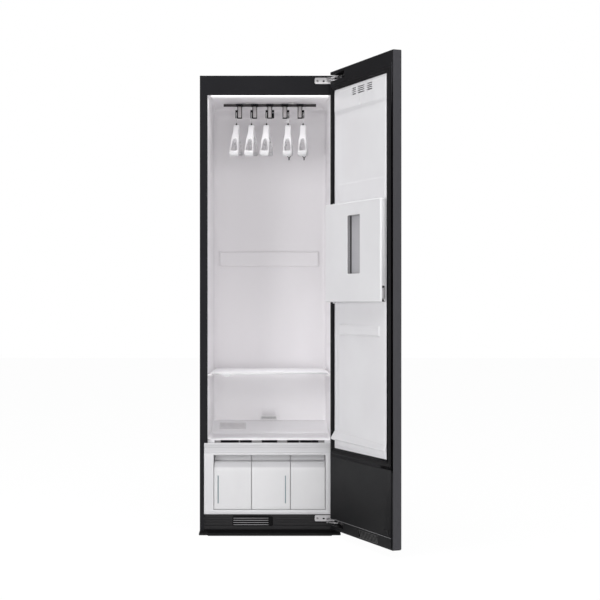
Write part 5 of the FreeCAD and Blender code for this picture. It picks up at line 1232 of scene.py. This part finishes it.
def hangerRibs(s, front, rear, settle):
    # cross ribs under both arms, split in two where the hole is
    ribs = []
    for sign, arm in ((1, front), (-1, rear)):
        for distance in s["ribs"]:
            y0, z0, y1, z1, width, gap = arm[np.searchsorted(np.abs(arm[:, 0]), distance)]
            outer = width - s["skin"] - 0.1
            split = distance >= s["hole"][0]

            def place(u, t, v, y0=y0, z0=z0, y1=y1, z1=z1, sign=sign):
                return settle(u, y0 + (y1 - y0) * v + sign * t, z0 + (z1 - z0) * v)

            windows = [(-outer, -gap - 0.4), (gap + 0.4, outer)] if split else [(-outer, outer)]
            for window in windows:
                rings = [ringOf((*window, *s["ribDeep"]), 0, 0.01, level)
                         for level in (-s["ribThick"] / 2, s["ribThick"] / 2)]
                ribs.append(ringBody(rings, place, steps=2))
    return together(*ribs)


def makeHanger(number, s, c):
    front, frontHole = hangerRows(s)
    # the rear arm is the front one turned round, and falls a little less
    rear = front.copy()
    share = 1 - s["rearShare"] * ease(rear[:, :1], 4, 50)
    rear[:, [1, 3]] = s["neckZ"] + (rear[:, [1, 3]] - s["neckZ"]) * share
    rear[:, [0, 2]] *= -1
    inside = np.concatenate([frontHole[::-1], frontHole[1:]])
    y, z, underY, underZ, half, hole = np.concatenate([rear[::-1], front[1:]]).T
    down = np.stack([underY - y, underZ - z], -1)
    length = np.linalg.norm(down, axis=1)
    down = down / np.maximum(length, 1e-3)[:, None]
    # across the arm: a flat top, a quarter round at its edge, then the skirt
    edge = np.minimum(s["edge"], length * 0.8)[:, None]
    turn = np.linspace(0, math.pi / 2, 5)[1:]
    wide, tall, gap = half[:, None], length[:, None], hole[:, None]
    flat = np.concatenate([0 * gap, gap * 0.5, gap, (gap + wide - edge) / 2, wide - edge], 1)
    x = np.concatenate([flat, wide - edge + edge * np.sin(turn), wide, wide], 1)
    depth = np.concatenate([0 * flat, edge * (1 - np.cos(turn)), (edge + tall) / 2, tall], 1)
    x = np.concatenate([-x[:, :0:-1], x], 1)
    depth = np.concatenate([depth[:, :0:-1], depth], 1)
    pegX = c["places"][number] + c["sides"][number] * c["offset"]
    twist = -math.radians(s["twists"][number])

    def settle(px, py, pz):
        # px and py, which is positive towards the front, turn about the peg; pz counts up from it
        px, py = np.asarray(px, float), np.asarray(py, float)
        return inFrame(pegX + px * math.cos(twist) + py * math.sin(twist),
                       s["pegY"] + px * math.sin(twist) - py * math.cos(twist), s["pegZ"] + pz)

    forward, upward = y[:, None] + down[:, :1] * depth, z[:, None] + down[:, 1:] * depth
    points = settle(x, forward, upward).reshape(-1, 3)
    faces = np.array(gridFaces(*x.shape))
    row, column = np.divmod(np.arange(len(faces)), x.shape[1] - 1)
    gone = inside[row] & inside[row + 1] & (np.abs(column - x.shape[1] // 2 + 0.5) < 2)
    body, name = "hanger_%d" % (number + 1), "hanger%d" % (number + 1)
    addSheet(name + "Shell", (points, faces[~gone].tolist()), "hangerWhite", body, (0, 0, 1), s["skin"],
             [body], angle=50)
    addPiece(name + "Ribs", hangerRibs(s, front, rear, settle), "hangerWhite", body)

    # the hook: a half circle over the peg, then a stem down to the neck inside its collar
    bend, arch = s["hook"], np.linspace(0, math.pi, 12)
    path = [(-bend, -6), (-bend, -2), *np.stack([-bend * np.cos(arch), bend * np.sin(arch)], -1),
            (bend, -2)]
    stem = roundedPath([(bend, -2)] + [(bend * side, level) for level, side in s["stem"]], 4, 5)[1:]
    path = np.concatenate([path, stem])
    wire = tube(settle(0, path[:, 0], path[:, 1]), s["wire"] * mm, 10)
    addPiece(name + "Hook", wire, "hookWire", body, angle=60)
    levels, widths = np.array(s["collar"]).T
    collar = tube(settle(0, 0, levels), widths * mm, 14)
    addPiece(name + "Collar", collar, "blackPlastic", body, angle=60)
    if number in s["clipped"]:
        # a small forked clip below the rear tip
        footY, footZ = rear[-1, 0], rear[-1, 3]
        prongs = []
        for side in (-1, 1):
            fork = roundedPath([(side * across, footZ + level) for across, level in s["clip"]], 2.5, 4)
            path = settle(fork[:, 0], footY + s["clipBack"], fork[:, 1])
            prongs.append(tube(path, s["clipThick"] * mm, 8))
        addPiece(name + "Clip", together(*prongs), "clipGrey", body, angle=60)


for number in range(5):
    makeHanger(number, hangerSettings, carrierSettings)
print("rail, carriers and hangers made")

# panels that keep the node's shape and get rounded edges: node, width, finish, body, slot
softPanels = [("left_side_panel", 1.6, "bodyPaint", "cabinet", "black_steel"),
              ("right_side_panel", 1.6, "bodyPaint", "cabinet", "black_steel"),
              ("top_panel", 1.6, "bodyPaint", "cabinet", "black_steel"),
              ("front_frame", 1.2, "blackPaint", "cabinet", "black_steel"),
              ("rear_panel", 0.8, "backSteel", "cabinet", "steel_plain"),
              ("press_base", 1.2, "pressWhite", "door", "white_lining"),
              ("door_frame", 1.2, "doorPaint", "door", "black_steel"),
              ("door_glass", 1.2, "frontGlass", "door", "dark_glass"),
              ("door_lower_panel", 0.8, "panelBlack", "door", "black_trim"),
              ("upper_hinge", 0.6, "hingeSteel", "cabinet", "hinge_chrome"),
              ("lower_hinge", 0.6, "hingeSteel", "cabinet", "hinge_chrome"),
              ("door_brackets", 0.6, "linkSteelPaintedReflections", "door", "hinge_chrome"),
              ("lint_filter", 0.5, "filterMesh", "lint_filter", "grey_lining"),
              ("press_latch", 0.6, "latchSilver", "press_button", "latch_metal")]
softPieces = {row[0]: softened(*row) for row in softPanels}

hingeSettings = {"plateRight": 253, "plateFront": -277.1, "linkFront": -281, "y": -277.0,
                 "levels": (1929.5, 69.0), "slot": (229, -1.5, 9.6, 6.4),
                 "screws": [(203, -1.0), (250, -1.5)], "head": (4.6, 3.4)}


def finishHinges(s):
    # each plate gets a black capsule that paints the shade of its slot, and two low dished screw heads;
    # what lies beyond it is the link
    for node in ("upper_hinge", "lower_hinge"):
        right, front, link = s["plateRight"], s["plateFront"], s["linkFront"]
        accent(softPieces[node], "screwGrey", lambda c: (c[:, 0] < right) & (c[:, 1] < front))
        accent(softPieces[node], "linkSteelPaintedReflections", lambda c: (c[:, 0] > right) | (c[:, 1] < link))
    slots, heads = [], []
    for level in s["levels"]:
        x, drop, width, height = s["slot"]
        slots.append(roundedBox((x - width / 2, s["y"] - 0.35, level + drop - height / 2),
                                (x + width / 2, s["y"] + 0.2, level + drop + height / 2),
                                height / 2 - 0.1, 0.2, inFrame))
        wide, tall = s["head"]
        for x, drop in s["screws"]:
            rings = [(x, level + drop, 2 * a * wide, 2 * a * tall, a * tall, s["y"] - t)
                     for a, t in ((1.0, -0.3), (1.0, 0.1), (0.95, 0.16), (0.85, 0.16), (0.78, 0.05),
                                  (0.2, 0.03))]
            heads.append(ringBody(rings, inFrame, steps=6))
    addPiece("plateSlotShade", together(*slots), "slotBlack", "cabinet")
    addPiece("plateScrews", together(*heads), "screwGrey", "cabinet")


finishHinges(hingeSettings)

beadSettings = {"x": (-286, 246), "z": 76, "level": 2.6, "rise": 1.3, "half": 0.8}


def makePanelBead(s):
    # a half round of one section carried across the door's lower panel
    turn = np.linspace(0, math.pi, 7)
    profile = np.stack([s["level"] + s["rise"] * np.sin(turn), s["z"] - s["half"] * np.cos(turn)], -1)
    addPiece("panelBead", carried([profile] * 2, s["x"], onDoor), "slatGrey", "door",
             angle=60)


makePanelBead(beadSettings)

lensSettings = {"half": 250, "deep": (8, 76), "low": 1866.6, "edge": 1.8, "thick": 2.0}


def makeLens(s):
    # a flat lens whose rim turns up by a quarter circle
    front, back = s["deep"]
    xs = stationsOf(-s["half"], s["half"], 25, nearEnds(-s["half"], s["half"], 0.5, 1.2, 2.5))
    deeps = stationsOf(front, back, 7, nearEnds(front, back, 0.4, 1.0, 2.0))

    def place(x, deep):
        near = np.minimum(s["half"] - np.abs(x), np.minimum(deep - front, back - deep))
        share = np.clip(1 - near / s["edge"], 0, 1)
        return onFront(x, deep, s["low"] + s["edge"] * (1 - np.sqrt(1 - share * share)))

    addSheet("ceilingLens", sheetGrid(xs, deeps, place), "lampLens", "cabinet", (0, 0, -1), s["thick"],
             ["ceiling_light"])


makeLens(lensSettings)

louvreSettings = {"x": (-150, 150), "z": (70, 250), "rows": 9, "columns": 3, "gap": 14, "rise": 2.4,
                  "thick": 0.4, "from": 0.15, "share": 0.6, "sink": 0.2}


def makeLouvres(s):
    # each louvre swells like a half sine across its height and fades at both ends
    (left, right), (low, high) = s["x"], s["z"]
    rear = max(vertex.co.y for vertex in nodes["rear_panel"].data.vertices) / mm
    width = (right - left - s["gap"] * (s["columns"] - 1)) / s["columns"]
    pitch = (high - low) / s["rows"]
    across, up = np.linspace(0, 1, 15), np.linspace(0, 1, 7)

    def swell(u, v):
        return s["rise"] * np.sin(math.pi * v ** 0.6) * np.sqrt(np.clip(1 - (2 * u - 1) ** 8, 0, 1))

    parts = []
    for column in range(s["columns"]):
        for row in range(s["rows"]):
            x, z = left + column * (width + s["gap"]), low + (row + s["from"]) * pitch
            parts.append(sheetGrid(across, up, lambda u, v: inFrame(
                x + u * width, rear - s["sink"] + swell(u, v), z + v * pitch * s["share"])))
    addSheet("rearLouvres", together(*parts), "backSteel", "cabinet", (0, 1, 0), s["thick"],
             angle=60)


makeLouvres(louvreSettings)
print("panels, hinges, lens and louvres made")


def rayFlag(tree, *kinds):
    # 1 for rays of any of these kinds
    path = addNode(tree, "ShaderNodeLightPath")
    flag = 0.0
    for kind in kinds:
        either = addNode(tree, "ShaderNodeMath", {0: flag, 1: path.outputs["Is %s Ray" % kind]},
                         operation="MAXIMUM")
        flag = either.outputs[0]
    return flag


stageSettings = {"size": 40.0, "tone": 0.86, "glow": 1.03, "share": 0.94, "sky": (0.98, 0.99, 1.0, 1),
                 "skyLevel": 0.25}


def makeStage(s):
    # a plain floor that the camera sees nearly white, under a dim sky that it sees white
    half = s["size"] / 2
    mesh = bpy.data.meshes.new("studioFloor")
    mesh.from_pydata([(-half, -half, 0), (half, -half, 0), (half, half, 0), (-half, half, 0)], [],
                     [(0, 1, 2, 3)])
    floor = bpy.data.objects.new("studioFloor", mesh)
    scene.collection.objects.link(floor)
    material, tree, shader = newMaterial("studioFloor")
    feed(shader, {"Base Color": (s["tone"],) * 3 + (1,), "Roughness": 0.9})
    glow = addNode(tree, "ShaderNodeEmission", {"Strength": s["glow"]})
    share = addNode(tree, "ShaderNodeMath", {0: rayFlag(tree, "Camera", "Glossy", "Transmission"),
                                             1: s["share"]}, operation="MULTIPLY")
    mix = addNode(tree, "ShaderNodeMixShader", {0: share.outputs[0], 1: shader.outputs[0],
                                                2: glow.outputs[0]})
    feed(tree.nodes["Material Output"], {"Surface": mix.outputs[0]})
    mesh.materials.append(material)

    world = bpy.data.worlds.new("studio")
    world.use_nodes = True
    scene.world = world
    tree = world.node_tree
    sky = tree.nodes["Background"]
    feed(sky, {"Color": s["sky"], "Strength": s["skyLevel"]})
    white = addNode(tree, "ShaderNodeBackground", {"Color": (1, 1, 1, 1), "Strength": 1.0})
    mix = addNode(tree, "ShaderNodeMixShader", {0: rayFlag(tree, "Camera", "Transmission"),
                                                1: sky.outputs[0], 2: white.outputs[0]})
    feed(tree.nodes["World Output"], {"Surface": mix.outputs[0]})


# name, place, target, size, watts
softboxes = [
    ("frontBox", (0.2, -7.2, 2.9), (0.0, 0.0, 0.95), (3.0, 1.6), 35.0),
    ("topBox", (-0.3, -1.9, 5.8), (0.0, -0.2, 0.95), (3.0, 1.6), 162.0),
    ("underBox", (0.2, -6.6, 0.45), (0.0, 0.0, 1.5), (3.0, 0.6), 45.0),
    ("rightBox", (3.6, -6.2, 1.5), (0.0, 0.0, 0.95), (2.0, 2.4), 68.0),
    ("leftBox", (-3.8, -5.0, 1.7), (0.0, 0.0, 0.95), (2.4, 2.4), 119.0),
    ("ceilingBox", (0.0, -0.235, 1.860), (0.0, -0.19, 0.5), (0.5, 0.05), 0.28),
    ("floorBox", (0.0, -0.255, 0.655), (0.0, -0.03, 0.4), (0.46, 0.03), 0.13),
]


def addSoftbox(name, place, target, size, watts):
    lamp = bpy.data.lights.new(name, "AREA")
    lamp.shape = "RECTANGLE"
    lamp.size, lamp.size_y = size
    lamp.energy = watts
    box = bpy.data.objects.new(name, lamp)
    scene.collection.objects.link(box)
    box.location = place
    box.rotation_mode = "QUATERNION"
    box.rotation_quaternion = (Vector(target) - Vector(place)).to_track_quat("-Z", "Y")


for settings in softboxes:
    addSoftbox(*settings)
makeStage(stageSettings)

cameraSettings = {"lens": 87.06, "sensor_width": 36.0, "shift_x": 0.0503, "shift_y": 0.0067,
                  "clip_end": 100.0}
cameraData = bpy.data.cameras.new("camera")
for key, value in cameraSettings.items():
    setattr(cameraData, key, value)
camera = bpy.data.objects.new("camera", cameraData)
scene.collection.objects.link(camera)
camera.location = (0.0, -6.449, 0.980)
camera.rotation_euler = (math.pi / 2, 0, 0)
scene.camera = camera
print("stage, lamps and camera ready")
